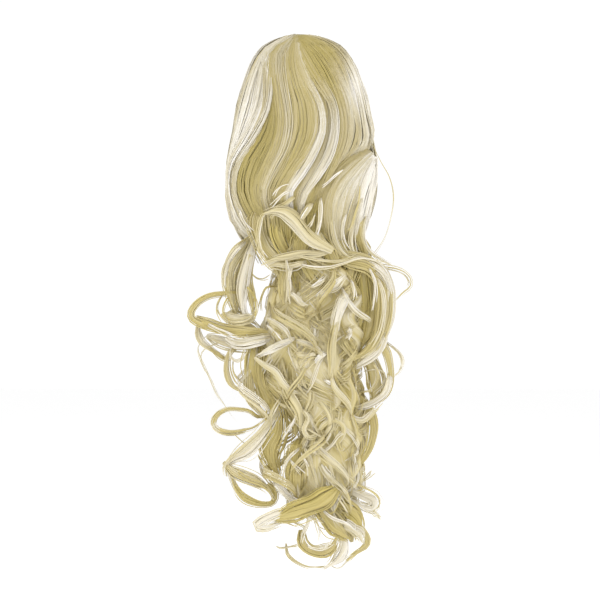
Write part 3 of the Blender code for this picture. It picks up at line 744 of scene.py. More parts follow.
@dataclass
class Crown:
    """The short top layer, which falls from the parting over the cap."""

    form: CrownForm = field(default_factory=CrownForm)
    under_locks: int = 30
    edge_locks: int = 9
    nape_locks: int = 30
    nape_sunk: float = 16.0
    nape_level: float = 7.3
    nape_rise: float = 1.6
    nape_step: float = 0.6
    seed: int = 11
    front: FlowSheet = field(init=False)
    lobe: FlowSheet = field(init=False)
    hem: FlowSheet = field(init=False)

    def __post_init__(self) -> None:
        """Builds the sheets of the front."""
        self.front = FlowSheet(self.form, FLOW_ROWS, root=True, wrapped=(-1, 1))
        self.lobe = FlowSheet(self.form, LOBE_ROWS, root=False, wrapped=(1,), inset=1.5)
        self.hem = FlowSheet(self.form, HEM_ROWS, root=False)

    def fall(
        self,
        angle: float,
        levels: tuple[float, float],
        lift: float,
        width: float,
        tone: float,
        copies: int,
        rng: Rng,
        root: float = 0.3,
        sunk: float = 0.0,
    ) -> Guide:
        """One plain lock that falls down the form at an angle.

        Args:
            angle: Its direction from the middle, in degrees.
            levels: Where it begins and ends, in rows of the table.
            lift: How far it stands out of the form, in mm.
            width: Half its breadth in mm.
            tone: How pale it is.
            copies: How many strands it has.
            rng: Source of the small differences between locks.
            root: Its breadth at the root, as a share.
            sunk: How far its root lies below the form, in mm.

        Returns:
            The lock's guide.
        """
        t = np.linspace(0, 1, GUIDE_POINTS)
        level = levels[0] + (levels[1] - levels[0]) * t
        turned = math.radians(angle) + wander(t, math.radians(rng.uniform(0.5, 3)), rng)
        lifts = lift * smooth_step(5 * t) + wander(t, rng.uniform(0, 1.4), rng)
        lifts -= sunk * (1 - smooth_step(4 * t))
        path = self.form.around(turned, level, lifts)
        outward = unit(path - self.form.around(turned, level, lifts - 5))
        across = np.cross(tangents(path), outward)
        guide = laid_flat(path, across, width, tone, copies, rng)
        guide.half_width *= root + (1 - root) * smooth_step(3 * t)
        guide.half_thick *= 0.2 + 0.8 * smooth_step(4 * t)
        return facing_out(guide)

    def sheets(self) -> dict[str, FlowSheet]:
        """The sheets by name."""
        return {"crown_sheet": self.front, "crown_lobe": self.lobe, "crown_hem": self.hem}

    def strand_guides(self) -> list[Guide]:
        """The locks of strands over the front's sheets."""
        rng = np.random.default_rng(self.seed)
        made = self.front.guides(3, 14, 4.6, rng)
        return made + self.lobe.guides(4, 12, 3.6, rng) + self.hem.guides(2, 9, 4.4, rng)

    def outer_guides(self) -> list[Guide]:
        """The locks of the sides and the back."""
        rng = np.random.default_rng(self.seed + 1)
        made = []
        for k in range(self.edge_locks):
            angle = rng.uniform(-4, 10)
            end = rng.uniform(11.2, 12.6)
            tone = rng.uniform(0.45, 0.8)
            for side in (180 - angle, angle):
                made.append(self.fall(side, (0.3, end), rng.uniform(-2, 0.5), 5, tone, 12, rng))
        for k in range(self.nape_locks):
            angle = 4 + 172 * (k + 0.5) / self.nape_locks + rng.uniform(-3, 3)
            higher = self.nape_rise * abs(math.cos(math.radians(angle))) ** 3
            start = self.nape_level - higher - self.nape_step * (k % 2) + rng.uniform(-0.2, 0.2)
            end = rng.uniform(11.4, 12.8)
            lift = rng.uniform(-2, 0) - 2 * (k % 2)
            tone = rng.uniform(0.3, 0.6)
            made.append(self.fall(angle, (start, end), lift, 7, tone, 9, rng, 0.7, self.nape_sunk))
        return made

    def under_guides(self) -> list[Guide]:
        """The locks below the front's sheets, dark: painted shade under the sheets."""
        rng = np.random.default_rng(self.seed + 2)
        made = []
        for k in range(self.under_locks):
            angle = 172 + 196 * (k + 0.5) / self.under_locks + rng.uniform(-3, 3)
            made.append(self.fall(angle, (0.9, rng.uniform(10.4, 11.6)), -12, 9.5, 0.12, 4, rng))
        return made


@dataclass
class Tail:
    """The long curled layer that hangs from under the cap."""

    hanging_locks: int = 40
    web_locks: int = 66
    front_web: int = 44
    front_spread: float = 0.42
    strands_per_mm: float = 3.2
    core_top: float = -40.0
    core_end: float = -430.0
    web_end: float = -436.0
    darkest: float = 0.05
    tone_range: float = 0.87
    root_sunk: float = 9.0
    seed: int = 23
    rows: np.ndarray = field(init=False)

    def __post_init__(self) -> None:
        """Reads the table of levels, from the lowest up."""
        values = [[r.z, r.x, r.half_x, r.y, r.half_y] for r in reversed(TAIL_ROWS)]
        self.rows = np.array(values, float)

    def level(self, z: np.ndarray) -> np.ndarray:
        """The tail's centre and half widths at each height, one row for each."""
        return np.stack([np.interp(z, self.rows[:, 0], self.rows[:, i]) for i in range(1, 5)], 1)

    def core_rings(self) -> tuple[np.ndarray, np.ndarray]:
        """The closed rings of the tail's dense middle in mm, and the tone of each corner."""
        heights = np.linspace(self.core_top, self.core_end, 112)
        angle = np.linspace(0, 2 * math.pi, 97)[:-1]
        x, half_x, y, half_y = self.level(heights).T[:, :, None]
        t = ((self.core_top - heights) / (self.core_top - self.core_end))[:, None]
        folds = sum(high * np.sin(turn * angle + down * t + phase) for high, turn, down, phase in FOLDS)
        ends = smooth_step(t * 30) * np.sqrt(smooth_step((1 - t) * 9))
        reach = (0.88 + folds) * ends
        place = angle + 0.34 * np.sin(2 * math.pi * 4.1 * t + 2 * angle)
        place = place + 0.2 * np.sin(2 * math.pi * 7.3 * t + 1)
        z = heights[:, None] + 0 * reach
        rings = np.stack([x + half_x * reach * np.cos(place), y + half_y * reach * np.sin(place), z], 2)
        # Paler where the folds stand out and darker where they sink in: painted highlight and painted
        # shade. The small wave round it is a pattern.
        tone = 0.42 + 1.3 * folds + 0.08 * np.sin(angle * 3 + 20 * t)
        return rings, np.clip(tone, 0.1, 0.7)

    def hanging(
        self,
        angle: float,
        share: float,
        heights: tuple[float, float],
        radius: float,
        rng: Rng,
    ) -> tuple[np.ndarray, np.ndarray]:
        """The path of a lock that coils down in or on the tail.

        Args:
            angle: Its direction from the tail's middle, in degrees.
            share: How far out it hangs, as a share of the tail's half width.
            heights: The heights where it starts and ends, in mm.
            radius: The coil's radius in mm.
            rng: Source of its pitch and phase.

        Returns:
            The path in mm, and the direction of its breadth at each point.
        """
        high, low = heights
        turns = (high - low) / rng.uniform(46, 84)
        t = np.linspace(0, 1, int(13 * turns) + 7)
        z = high + (low - high) * t
        x, half_x, y, half_y = self.level(z).T
        turn = rng.uniform(0, 2 * math.pi) + rng.choice([-1, 1]) * 2 * math.pi * turns * t
        grown = np.minimum(radius * smooth_step((high - z + 5) / 50), 0.5 * half_x + 4)
        base = math.radians(angle) + wander(t, 0.25, rng)
        facing = math.radians(angle)
        across = np.array([-math.sin(facing), math.cos(facing), 0])
        middle = np.stack([x + half_x * share * np.cos(base), y + half_y * share * np.sin(base), z], 1)
        outward = np.array([math.cos(facing), math.sin(facing), 0])
        swirl = np.outer(np.cos(turn), across) + np.outer(np.sin(turn) * 0.45, outward)
        swirl -= np.outer(np.sin(turn), [0, 0, rng.uniform(0.2, 0.9)])
        path = middle + swirl * grown[:, None]
        lean = rng.uniform(-0.6, 0.6)
        return path, np.tile([lean * across[0], lean * across[1], -1.0], (len(t), 1))

    def hanging_guides(self) -> list[Guide]:
        """The broad locks round the tail's middle and behind it."""
        rng = np.random.default_rng(self.seed)
        made = []
        for k in range(self.hanging_locks):
            share = (0.8, 0.55, 0.85)[k % 3] * rng.uniform(0.9, 1.0)
            angle = 360 * k * GOLDEN_SHARE + rng.uniform(-10, 10)
            heights = (rng.uniform(-150, -120), -290 - 125 * rng.uniform() ** 0.8)
            path, flat = self.hanging(angle, share, heights, rng.uniform(8, 13), rng)
            tone = rng.uniform(0.32, 0.55)
            made.append(laid_flat(path, flat, rng.uniform(4, 8), tone, 16, rng))
        for row in COIL_ROWS:
            path, axis = coil_path(row)
            flat = np.tile(axis, (len(path), 1))
            tone = rng.uniform(0.35, 0.75)
            made.append(laid_flat(path, flat, 0.42 * row.width, tone, 14, rng))
        return made

    def web_guides(self) -> list[Guide]:
        """The many fine curls on the tail's surface."""
        rng = np.random.default_rng(self.seed + 1)
        made = []
        for k in range(self.web_locks + self.front_web):
            angle = 360 * k * GOLDEN_SHARE + rng.uniform(-10, 10)
            if k >= self.web_locks:
                angle = FRONT_ANGLE + self.front_spread * (angle % 360 - 180)
            high = rng.uniform(-385, -130)
            low = max(high - rng.uniform(50, 150), self.web_end)
            share = rng.uniform(0.72, 0.92)
            path, flat = self.hanging(angle, share, (high, low), rng.uniform(4, 10), rng)
            width = rng.uniform(1.2, 3.6)
            tone = rng.uniform(0.35, 0.72)
            made.append(laid_flat(path, flat, width, tone, int(3 + 2.4 * width), rng))
        return made

    def stroke_guides(self) -> list[Guide]:
        """The curls of the table."""
        rng = np.random.default_rng(self.seed + 2)
        return [self.stroke(row, rng) for row in STROKE_ROWS]

    def stroke(self, row: StrokeRow, rng: Rng) -> Guide:
        """One curl of the table, with its first end sunk into the hair behind."""
        points = np.array([row.x, row.z], float).T
        steps = np.linalg.norm(np.diff(points, axis=0), axis=1)
        run = np.concatenate([[0], np.cumsum(steps)])
        count = int(np.clip(run[-1] / 4, 12, 44))
        t = np.linspace(0, 1, count)
        at = np.interp(t * run[-1], run, np.arange(len(points)))
        x, z = flow(points, at).T
        y = row.y1 + (row.y2 - row.y1) * smooth_step(t) + wander(t, 2.0, rng)
        y = y + self.root_sunk * (1 - smooth_step(6 * t))
        path = np.stack([x, y, z], 1)
        ahead = tangents(path)
        normal = np.cross(ahead, [0, 1, 0])
        tilt = np.radians(row.tilt + wander(t, 18, rng))[:, None]
        flat = unit(normal) * np.cos(tilt) + np.array([0, 1, 0]) * np.sin(tilt)
        copies = int(self.strands_per_mm * row.width) + 2
        tone = self.darkest + self.tone_range * row.tone
        return laid_flat(path, flat, row.width, tone, copies, rng)


@dataclass
class Strays:
    """The loose single hairs round the outline."""

    rows: tuple[StrokeRow, ...]
    hairs: int = 3
    seed: int = 5

    def guides(self) -> list[Guide]:
        """One thin bundle for each row."""
        rng = np.random.default_rng(self.seed)
        tail = Tail()
        made = [tail.stroke(row, rng) for row in self.rows]
        for guide in made:
            guide.copies = self.hairs
        return made


class Bench:
    """Adds and wires the nodes of one tree."""

    def __init__(self, tree: bpy.types.NodeTree) -> None:
        """Works on the given tree."""
        self.tree = tree

    def add(self, kind: str, **settings: object) -> bpy.types.Node:
        """A new node with its settings."""
        node = self.tree.nodes.new(kind)
        for name, value in settings.items():
            setattr(node, name, value)
        return node

    def feed(self, socket: Socket, value: object) -> None:
        """Wires a socket to the value, or sets it."""
        if isinstance(value, Socket):
            self.tree.links.new(value, socket)
        else:
            socket.default_value = value

    def result(self, kind: str, inputs: dict, out: int | str = 0, **settings: object) -> Socket:
        """An output of a new node whose inputs are wired or set, each by its name or number."""
        node = self.add(kind, **settings)
        for key, value in inputs.items():
            self.feed(node.inputs[key], value)
        return node.outputs[out]

    def math(self, operation: str, *values: object) -> Socket:
        """The result of a Math node."""
        return self.result("ShaderNodeMath", dict(enumerate(values)), operation=operation)

    def vectors(self, operation: str, *values: object) -> Socket:
        """The result of a Vector Math node on two vectors."""
        return self.result("ShaderNodeVectorMath", dict(enumerate(values)), operation=operation)

    def scaled(self, vector: object, factor: object) -> Socket:
        """A vector times a number."""
        return self.result("ShaderNodeVectorMath", {0: vector, 3: factor}, operation="SCALE")

    def limited(self, value: object, low: float, high: float) -> Socket:
        """A number held between two others."""
        return self.result("ShaderNodeClamp", {0: value, 1: low, 2: high})


class GeometryBench(Bench):
    """Adds what only geometry trees have."""

    def named(self, name: str, kind: str = "FLOAT") -> Socket:
        """The value of a named attribute."""
        return self.result("GeometryNodeInputNamedAttribute", {"Name": name}, "Attribute", data_type=kind)

    def store(self, geometry: Socket, name: str, value: object, kind: str, domain: str) -> Socket:
        """Keeps a value on the geometry under a name."""
        inputs = {"Name": name, "Geometry": geometry, "Value": value}
        return self.result("GeometryNodeStoreNamedAttribute", inputs, data_type=kind, domain=domain)

    def placed(self, geometry: Socket) -> Socket:
        """Keeps each point's place as its centre."""
        place = self.result("GeometryNodeInputPosition", {})
        return self.store(geometry, "centre", place, "FLOAT_VECTOR", "POINT")

    def chance(self, low: float, high: float, seed: object) -> Socket:
        """A random number for each element."""
        inputs = {2: low, 3: high, "Seed": seed}
        return self.result("FunctionNodeRandomValue", inputs, 1, data_type="FLOAT")

    def swept(self, curve: Socket, sides: object) -> Socket:
        """A capped tube along each spline, with the angle round it kept as an attribute."""
        inputs = {"Resolution": sides}
        circle = self.result("GeometryNodeCurvePrimitiveCircle", inputs, "Curve", mode="RADIUS")
        part = self.math("DIVIDE", self.result("GeometryNodeInputIndex", {}), sides)
        angle = self.math("MULTIPLY_ADD", part, 2 * math.pi, 0.5 * math.pi)
        ring = self.store(circle, "round", angle, "FLOAT", "POINT")
        inputs = {"Curve": curve, "Profile Curve": ring, "Fill Caps": True}
        return self.result("GeometryNodeCurveToMesh", inputs, "Mesh")

    def shaped(self, mesh: Socket, wide: object, thick: object) -> Socket:
        """Sets each tube's cross-section from the kept centre, side and out."""
        angle = self.named("round")
        across = self.scaled(self.named("side", "FLOAT_VECTOR"), self.math("COSINE", angle))
        outward = self.scaled(self.named("out", "FLOAT_VECTOR"), self.math("SINE", angle))
        offset = self.vectors("ADD", self.scaled(across, wide), self.scaled(outward, thick))
        place = self.vectors("ADD", self.named("centre", "FLOAT_VECTOR"), offset)
        return self.result("GeometryNodeSetPosition", {"Geometry": mesh, "Position": place})

    def mapped(self, mesh: Socket, u: object, v: object) -> Socket:
        """Gives the mesh its map: u is the tone, v runs along the hair."""
        half = 0.5 * MAP_MARGIN
        inputs = {0: self.limited(u, MAP_MARGIN, 1 - MAP_MARGIN), 1: self.limited(v, half, 1 - half)}
        pair = self.result("ShaderNodeCombineXYZ", inputs)
        return self.store(mesh, BAKE_MAP, pair, "FLOAT2", "CORNER")

    def ended(self, mesh: Socket, material: object, rounded: bool) -> None:
        """Ends the tree: smooth or flat faces, real meshes and the material."""
        smooth = self.result("GeometryNodeSetShadeSmooth", {"Geometry": mesh, "Shade Smooth": rounded})
        real = self.result("GeometryNodeRealizeInstances", {"Geometry": smooth})
        paint = self.result("GeometryNodeSetMaterial", {"Geometry": real, "Material": material})
        self.feed(self.add("NodeGroupOutput").inputs[0], paint)


class TreeMaker:
    """Builds the geometry trees that turn guides into hair."""

    strand_wide = 1.3
    strand_thick = 0.48

    def start(self, name: str, inputs: tuple[tuple[str, str, object], ...]) -> tuple:
        """A new tree with its named inputs.

        Args:
            name: The tree's name.
            inputs: Name, socket type and first value of each input after the geometry.

        Returns:
            The tree, its bench and the sockets of its inputs.
        """
        tree = bpy.data.node_groups.new(name, "GeometryNodeTree")
        face = tree.interface
        face.new_socket("Geometry", in_out="INPUT", socket_type="NodeSocketGeometry")
        for label, kind, value in inputs:
            socket = face.new_socket(label, in_out="INPUT", socket_type=kind)
            if value is not None:
                socket.default_value = value
        face.new_socket("Geometry", in_out="OUTPUT", socket_type="NodeSocketGeometry")
        bench = GeometryBench(tree)
        return tree, bench, bench.add("NodeGroupInput").outputs

    def locks(self) -> bpy.types.NodeTree:
        """The tree that gives each guide one grooved, flattened lock."""
        inputs = (
            ("Sides", "NodeSocketInt", 14),
            ("Grooves", "NodeSocketInt", 5),
            ("Groove Depth", "NodeSocketFloat", 0.16),
            ("Groove Twist", "NodeSocketFloat", 3.0),
            ("Material", "NodeSocketMaterial", None),
        )
        tree, b, given = self.start("grooved_locks", inputs)
        curve = b.result("GeometryNodeMeshToCurve", {"Mesh": given["Geometry"]})
        mesh = b.swept(b.placed(curve), given["Sides"])
        angle, along, tone = b.named("round"), b.named("along"), b.named("tone")
        wave = b.math("MULTIPLY_ADD", angle, given["Grooves"], b.math("MULTIPLY", tone, 40.0))
        wave = b.math("MULTIPLY_ADD", along, given["Groove Twist"], wave)
        swell = b.math("MULTIPLY_ADD", b.math("COSINE", wave), given["Groove Depth"], 0.9)
        wide = b.math("MULTIPLY", b.named("half_width"), swell)
        thick = b.math("MULTIPLY", b.named("half_thick"), swell)
        mesh = b.shaped(mesh, wide, thick)
        u = b.math("MULTIPLY_ADD", b.math("COSINE", angle), 0.12, tone)
        b.ended(b.mapped(mesh, u, along), given["Material"], True)
        return tree

    def strands(self) -> bpy.types.NodeTree:
        """The tree that lays many thin strands round each guide."""
        inputs = (
            ("Sides", "NodeSocketInt", 3),
            ("Strand Radius", "NodeSocketFloat", 0.42 * MM),
            ("Arc", "NodeSocketFloat", 2 * math.pi),
            ("Looseness", "NodeSocketFloat", 0.7),
            ("Drift", "NodeSocketFloat", 3.0 * MM),
            ("Shortest", "NodeSocketFloat", 0.72),
            ("Seed", "NodeSocketInt", 1),
            ("Material", "NodeSocketMaterial", None),
        )
        tree, b, given = self.start("strand_bundles", inputs)
        curve = b.result("GeometryNodeMeshToCurve", {"Mesh": given["Geometry"]})
        copied = {"Geometry": curve, "Amount": b.named("copies", "INT")}
        hair = b.result("GeometryNodeDuplicateElements", copied, domain="SPLINE")
        ranges = (("turned", 0, 1), ("lifted", 0, 1), ("toned", -1, 1))
        ranges += (("drifted", -1, 1), ("reach", 0, 1))
        for step, (name, low, high) in enumerate(ranges):
            seed = b.math("ADD", given["Seed"], float(17 * step))
            value = b.chance(low, high, seed)
            if name == "turned":
                value = b.math("MULTIPLY", value, given["Arc"])
            hair = b.store(hair, name, value, "FLOAT", "CURVE")
        short = b.math("MULTIPLY", b.named("reach"), b.named("reach"))
        gap = b.math("SUBTRACT", 1.0, given["Shortest"])
        reach = b.math("SUBTRACT", 1.0, b.math("MULTIPLY", short, gap))
        hair = b.store(hair, "reach", reach, "FLOAT", "CURVE")
        hair = self.spread(b, hair, given)
        trim = b.result("GeometryNodeTrimCurve", {0: hair, 3: b.named("reach")}, mode="FACTOR")
        mesh = b.swept(b.placed(trim), given["Sides"])
        along = b.named("along")
        tip = b.math("MULTIPLY", b.math("SUBTRACT", b.named("reach"), along), 9.0)
        root = b.math("MULTIPLY_ADD", along, 20.0, 0.4)
        taper = b.math("MULTIPLY", b.limited(tip, 0.22, 1.0), b.limited(root, 0.4, 1.0))
        radius = b.math("MULTIPLY", taper, given["Strand Radius"])
        wide, thick = (b.math("MULTIPLY", radius, share) for share in (self.strand_wide, self.strand_thick))
        mesh = b.shaped(mesh, wide, thick)
        tone = b.named("tone")
        swing = b.math("MULTIPLY_ADD", tone, 0.07, 0.055)
        mixed = b.math("ADD", b.math("COSINE", b.named("turned")), b.named("toned"))
        u = b.math("MULTIPLY_ADD", mixed, swing, tone)
        u = b.math("MULTIPLY_ADD", b.math("COSINE", b.named("round")), 0.005, u)
        b.ended(b.mapped(mesh, u, along), given["Material"], False)
        return tree

    def spread(self, b: GeometryBench, hair: Socket, given: bpy.types.bpy_prop_collection) -> Socket:
        """Moves each copy to its own place on the lock's surface, a few of them loosely."""
        turned, along = b.named("turned"), b.named("along")
        loose = b.math("POWER", b.named("lifted"), 9.0)
        reach = b.math("MULTIPLY_ADD", loose, given["Looseness"], 0.97)
        wide = b.math("MULTIPLY", b.named("half_width"), reach)
        wide = b.math("MULTIPLY", b.math("COSINE", turned), wide)
        thick = b.math("MULTIPLY", b.named("half_thick"), reach)
        thick = b.math("MULTIPLY", b.math("SINE", turned), thick)
        drift = b.math("MULTIPLY", b.math("MULTIPLY", along, along), given["Drift"])
        wide = b.math("MULTIPLY_ADD", b.named("drifted"), drift, wide)
        side, out = b.named("side", "FLOAT_VECTOR"), b.named("out", "FLOAT_VECTOR")
        offset = b.vectors("ADD", b.scaled(side, wide), b.scaled(out, thick))
        return b.result("GeometryNodeSetPosition", {"Geometry": hair, "Offset": offset})


class Dresser:
    """Turns lists of guides into pieces of the scene."""

    def __init__(self) -> None:
        """Builds the two trees."""
        maker = TreeMaker()
        self.lock_tree = maker.locks()
        self.strand_tree = maker.strands()

    def guide_object(self, name: str, guides: list[Guide]) -> bpy.types.Object:
        """An object of bare edges, one line for each guide, with the guides' values on its points."""
        sizes = [len(g.path) for g in guides]
        points = np.concatenate([g.path for g in guides])
        first = np.cumsum([0, *sizes[:-1]])
        steps = [np.stack([np.arange(n - 1), np.arange(1, n)], 1) for n in sizes]
        edges = np.concatenate([start + step for start, step in zip(first, steps)])
        mesh = bpy.data.meshes.new(name)
        mesh.vertices.add(len(points))
        mesh.vertices.foreach_set("co", points.astype(np.float32).ravel())
        mesh.edges.add(len(edges))
        mesh.edges.foreach_set("vertices", edges.astype(np.int32).ravel())
        values = {"along": [g.along() for g in guides]}
        values["copies"] = [np.full(n, g.copies) for g, n in zip(guides, sizes)]
        for word, kind, key, number in GUIDE_LAYERS:
            held = np.concatenate(values.get(word) or [getattr(g, word) for g in guides])
            layer = mesh.attributes.new(word, kind, "POINT")
            layer.data.foreach_set(key, held.astype(number).ravel())
        return in_scene(name, mesh)

    def grown(
        self,
        name: str,
        guides: list[Guide],
        tree: bpy.types.NodeTree,
        paint: Paint,
        **values: object,
    ) -> bpy.types.Object:
        """Grows a piece of hair from guides.

        Args:
            name: The piece's name.
            guides: The lines that it follows.
            tree: The geometry tree that makes it.
            paint: Its finish, and the CAD node that it stands for.
            **values: Values for the tree's inputs, by name with underscores for spaces.

        Returns:
            The piece, as a plain mesh that rides on the part's body.
        """
        obj = self.guide_object(name, guides)
        modifier = obj.modifiers.new(name, "NODES")
        modifier.node_group = tree
        material, node = paint
        values["Material"] = material
        for item in tree.interface.items_tree:
            key = item.name.replace(" ", "_")
            if item.in_out == "INPUT" and key in values:
                modifier[item.identifier] = values[key]
        bpy.context.view_layer.update()
        graph = bpy.context.evaluated_depsgraph_get()
        mesh = bpy.data.meshes.new_from_object(obj.evaluated_get(graph), depsgraph=graph)
        obj.modifiers.clear()
        old, obj.data = obj.data, mesh
        bpy.data.meshes.remove(old)
        mesh.name = name
        for word in (*(layer[0] for layer in GUIDE_LAYERS), *TREE_WORDS):
            if word in mesh.attributes:
                mesh.attributes.remove(mesh.attributes[word])
        face_outward(mesh)
        seat(obj, (node,))
        return obj

    def skin(
        self,
        name: str,
        shape: tuple[np.ndarray, np.ndarray],
        paint: Paint,
    ) -> bpy.types.Object:
        """A closed smooth form of hair from rings that shrink to nothing or to a line at both ends.

        Args:
            name: The piece's name.
            shape: Points in mm, one closed ring of them for each level, and how pale each point is.
            paint: Its finish, and the CAD node that it stands for.

        Returns:
            The piece, with the map's u round it and v along it.
        """
        rings, tones = shape
        levels, around = rings.shape[:2]
        inner = 1 - 2 * MAP_MARGIN
        bm = bmesh.new()
        uv_layer = bm.loops.layers.uv.new(BAKE_MAP)
        tone_layer = bm.verts.layers.float.new("tone")
        verts = []
        for ring, shades in zip(rings * MM, tones):
            row = [bm.verts.new(point) for point in ring]
            for vert, shade in zip(row, shades):
                vert[tone_layer] = float(shade)
            verts.append(row)
        for j in range(levels - 1):
            for i in range(around):
                k = (i + 1) % around
                face = bm.faces.new((verts[j][i], verts[j][k], verts[j + 1][k], verts[j + 1][i]))
                u0, u1 = (MAP_MARGIN + inner * step / around for step in (i, i + 1))
                v0, v1 = (MAP_MARGIN + inner * step / (levels - 1) for step in (j, j + 1))
                for loop, place in zip(face.loops, ((u0, v0), (u1, v0), (u1, v1), (u0, v1))):
                    loop[uv_layer].uv = place
                face.smooth = True
        bmesh.ops.remove_doubles(bm, verts=bm.verts, dist=1e-7)
        bmesh.ops.recalc_face_normals(bm, faces=bm.faces)
        mesh = mesh_of(bm, name)
        face_outward(mesh)
        mesh.materials.append(paint[0])
        obj = in_scene(name, mesh)
        seat(obj, (paint[1],))
        return obj


def in_scene(name: str, data: bpy.types.ID) -> bpy.types.Object:
    """A new object in the scene."""
    obj = bpy.data.objects.new(name, data)
    bpy.context.scene.collection.objects.link(obj)
    return obj


def mesh_of(bm: bmesh.types.BMesh, name: str) -> bpy.types.Mesh:
    """The mesh of a bmesh, which is freed."""
    mesh = bpy.data.meshes.new(name)
    bm.to_mesh(mesh)
    bm.free()
    return mesh


def surface(name: str) -> tuple[bpy.types.Material, Bench, bpy.types.Node]:
    """A new material, the bench of its nodes and its shader."""
    material = bpy.data.materials.new(name)
    material.use_nodes = True
    return material, Bench(material.node_tree), material.node_tree.nodes["Principled BSDF"]


def face_outward(mesh: bpy.types.Mesh) -> None:
    """Flips a closed mesh whose faces point inwards, which its signed volume tells."""
    mesh.calc_loop_triangles()
    corners = np.empty(3 * len(mesh.loop_triangles), np.int32)
    mesh.loop_triangles.foreach_get("vertices", corners)
    points = np.empty(3 * len(mesh.vertices), np.float32)
    mesh.vertices.foreach_get("co", points)
    a, b, c = points.reshape(-1, 3)[corners.reshape(-1, 3)].astype(float).transpose(1, 0, 2)
    if float((a * np.cross(b, c)).sum()) < 0:
        mesh.flip_normals()


def seat(obj: bpy.types.Object, nodes: tuple[str, ...] = ()) -> None:
    """Sets a finished piece on the part's body and reports it."""
    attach(obj, BODY)
    if nodes:
        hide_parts(*nodes)
    obj.data.calc_loop_triangles()
    LOG.info("%s: %d triangles", obj.name, len(obj.data.loop_triangles))


def streaked(
    b: Bench,
    shader: bpy.types.Node,
    fine: Socket,
    roughness: tuple[float, float],
    bump: tuple[float, float],
) -> None:
    """Wires a shader's roughness, low to high, and its bump, strength and depth, to fine streaks."""
    low, high = roughness
    b.feed(shader.inputs["Roughness"], b.math("MULTIPLY_ADD", fine, high - low, low))
    inputs = {"Strength": bump[0], "Distance": bump[1], "Height": fine}
    b.feed(shader.inputs["Normal"], b.result("ShaderNodeBump", inputs))


@dataclass(frozen=True)
class HairFinish:
    """Blond fibre: colours from shadow to palest, and how its streaks lie."""

    name: str = "blond_strands"
    source: ToneSource = ToneSource.MAP
    shadow: Colour = (0.50, 0.41, 0.12)
    low: Colour = (0.515, 0.43, 0.18)
    middle: Colour = (0.59, 0.52, 0.315)
    pale: Colour = (0.775, 0.745, 0.69)
    across: float = 110.0
    along: float = 2.2
    contrast: float = 0.42
    fine: float = 0.4
    roughness: tuple[float, float] = (0.38, 0.56)
    bump: float = 0.15

    def build(self, streak_group: bpy.types.NodeTree) -> bpy.types.Material:
        """The material. The map's v runs along the hair; its u is the tone, or runs across."""
        material, b, shader = surface(self.name)
        uv = b.add("ShaderNodeUVMap", uv_map=BAKE_MAP)
        streak = b.add("ShaderNodeGroup", node_tree=streak_group)
        b.feed(streak.inputs["Vector"], uv.outputs[0])
        b.feed(streak.inputs["Across"], self.across)
        b.feed(streak.inputs["Along"], self.along)
        if self.source is ToneSource.MAP:
            plain = b.result("ShaderNodeSeparateXYZ", {0: uv.outputs[0]})
        else:
            plain = b.add("ShaderNodeAttribute", attribute_name="tone").outputs["Fac"]
        tone = b.math("MULTIPLY_ADD", streak.outputs["Shade"], self.contrast, plain)
        tone = b.math("MULTIPLY_ADD", streak.outputs["Fine"], self.fine, tone)
        tone = b.math("SUBTRACT", tone, 0.5 * (self.contrast + self.fine))
        ramp = b.add("ShaderNodeValToRGB")
        b.feed(ramp.inputs[0], tone)
        colours = ramp.color_ramp.elements
        stops = ((0.0, self.shadow), (0.3, self.low), (0.62, self.middle), (1.0, self.pale))
        while len(colours) < len(stops):
            colours.new(0.5)
        for element, (at, colour) in zip(colours, stops):
            element.position = at
            element.color = (*colour, 1.0)
        b.feed(shader.inputs["Base Color"], ramp.outputs[0])
        streaked(b, shader, streak.outputs["Fine"], self.roughness, (self.bump, 0.4 * MM))
        return material


@dataclass(frozen=True)
class MouldedFinish:
    """Cast plastic or woven net, with a fine grain on Object coordinates."""

    name: str
    dark: Colour
    light: Colour
    grain: float
    roughness: tuple[float, float]
    bump: float

    def build(self, streak_group: bpy.types.NodeTree) -> bpy.types.Material:
        """The material."""
        material, b, shader = surface(self.name)
        place = b.add("ShaderNodeTexCoord")
        streak = b.add("ShaderNodeGroup", node_tree=streak_group)
        b.feed(streak.inputs["Vector"], place.outputs["Object"])
        b.feed(streak.inputs["Across"], self.grain)
        b.feed(streak.inputs["Along"], self.grain)
        ramp = b.add("ShaderNodeValToRGB")
        b.feed(ramp.inputs[0], streak.outputs["Shade"])
        ramp.color_ramp.elements[0].color = (*self.dark, 1.0)
        ramp.color_ramp.elements[1].color = (*self.light, 1.0)
        b.feed(shader.inputs["Base Color"], ramp.outputs[0])
        streaked(b, shader, streak.outputs["Fine"], self.roughness, (self.bump, 0.2 * MM))
        return material


def streak_group() -> bpy.types.NodeTree:
    """The shared effect of drawn-out streaks: a coarse shade and a fine one, both from 0 to 1."""
    tree = bpy.data.node_groups.new("drawn_streaks", "ShaderNodeTree")
    face = tree.interface
    face.new_socket("Vector", in_out="INPUT", socket_type="NodeSocketVector")
    for name, way in (("Across", "INPUT"), ("Along", "INPUT"), ("Shade", "OUTPUT"), ("Fine", "OUTPUT")):
        face.new_socket(name, in_out=way, socket_type="NodeSocketFloat")
    b = Bench(tree)
    given, out = b.add("NodeGroupInput").outputs, b.add("NodeGroupOutput")
    stretch = b.result("ShaderNodeCombineXYZ", {0: given["Across"], 1: given["Along"], 2: given["Across"]})
    drawn = b.vectors("MULTIPLY", given["Vector"], stretch)
    for name, scale, detail in (("Shade", 0.45, 2.0), ("Fine", 1.6, 1.0)):
        inputs = {"Vector": drawn, "Scale": scale, "Detail": detail}
        b.feed(out.inputs[name], b.result("ShaderNodeTexNoise", inputs))
    return tree


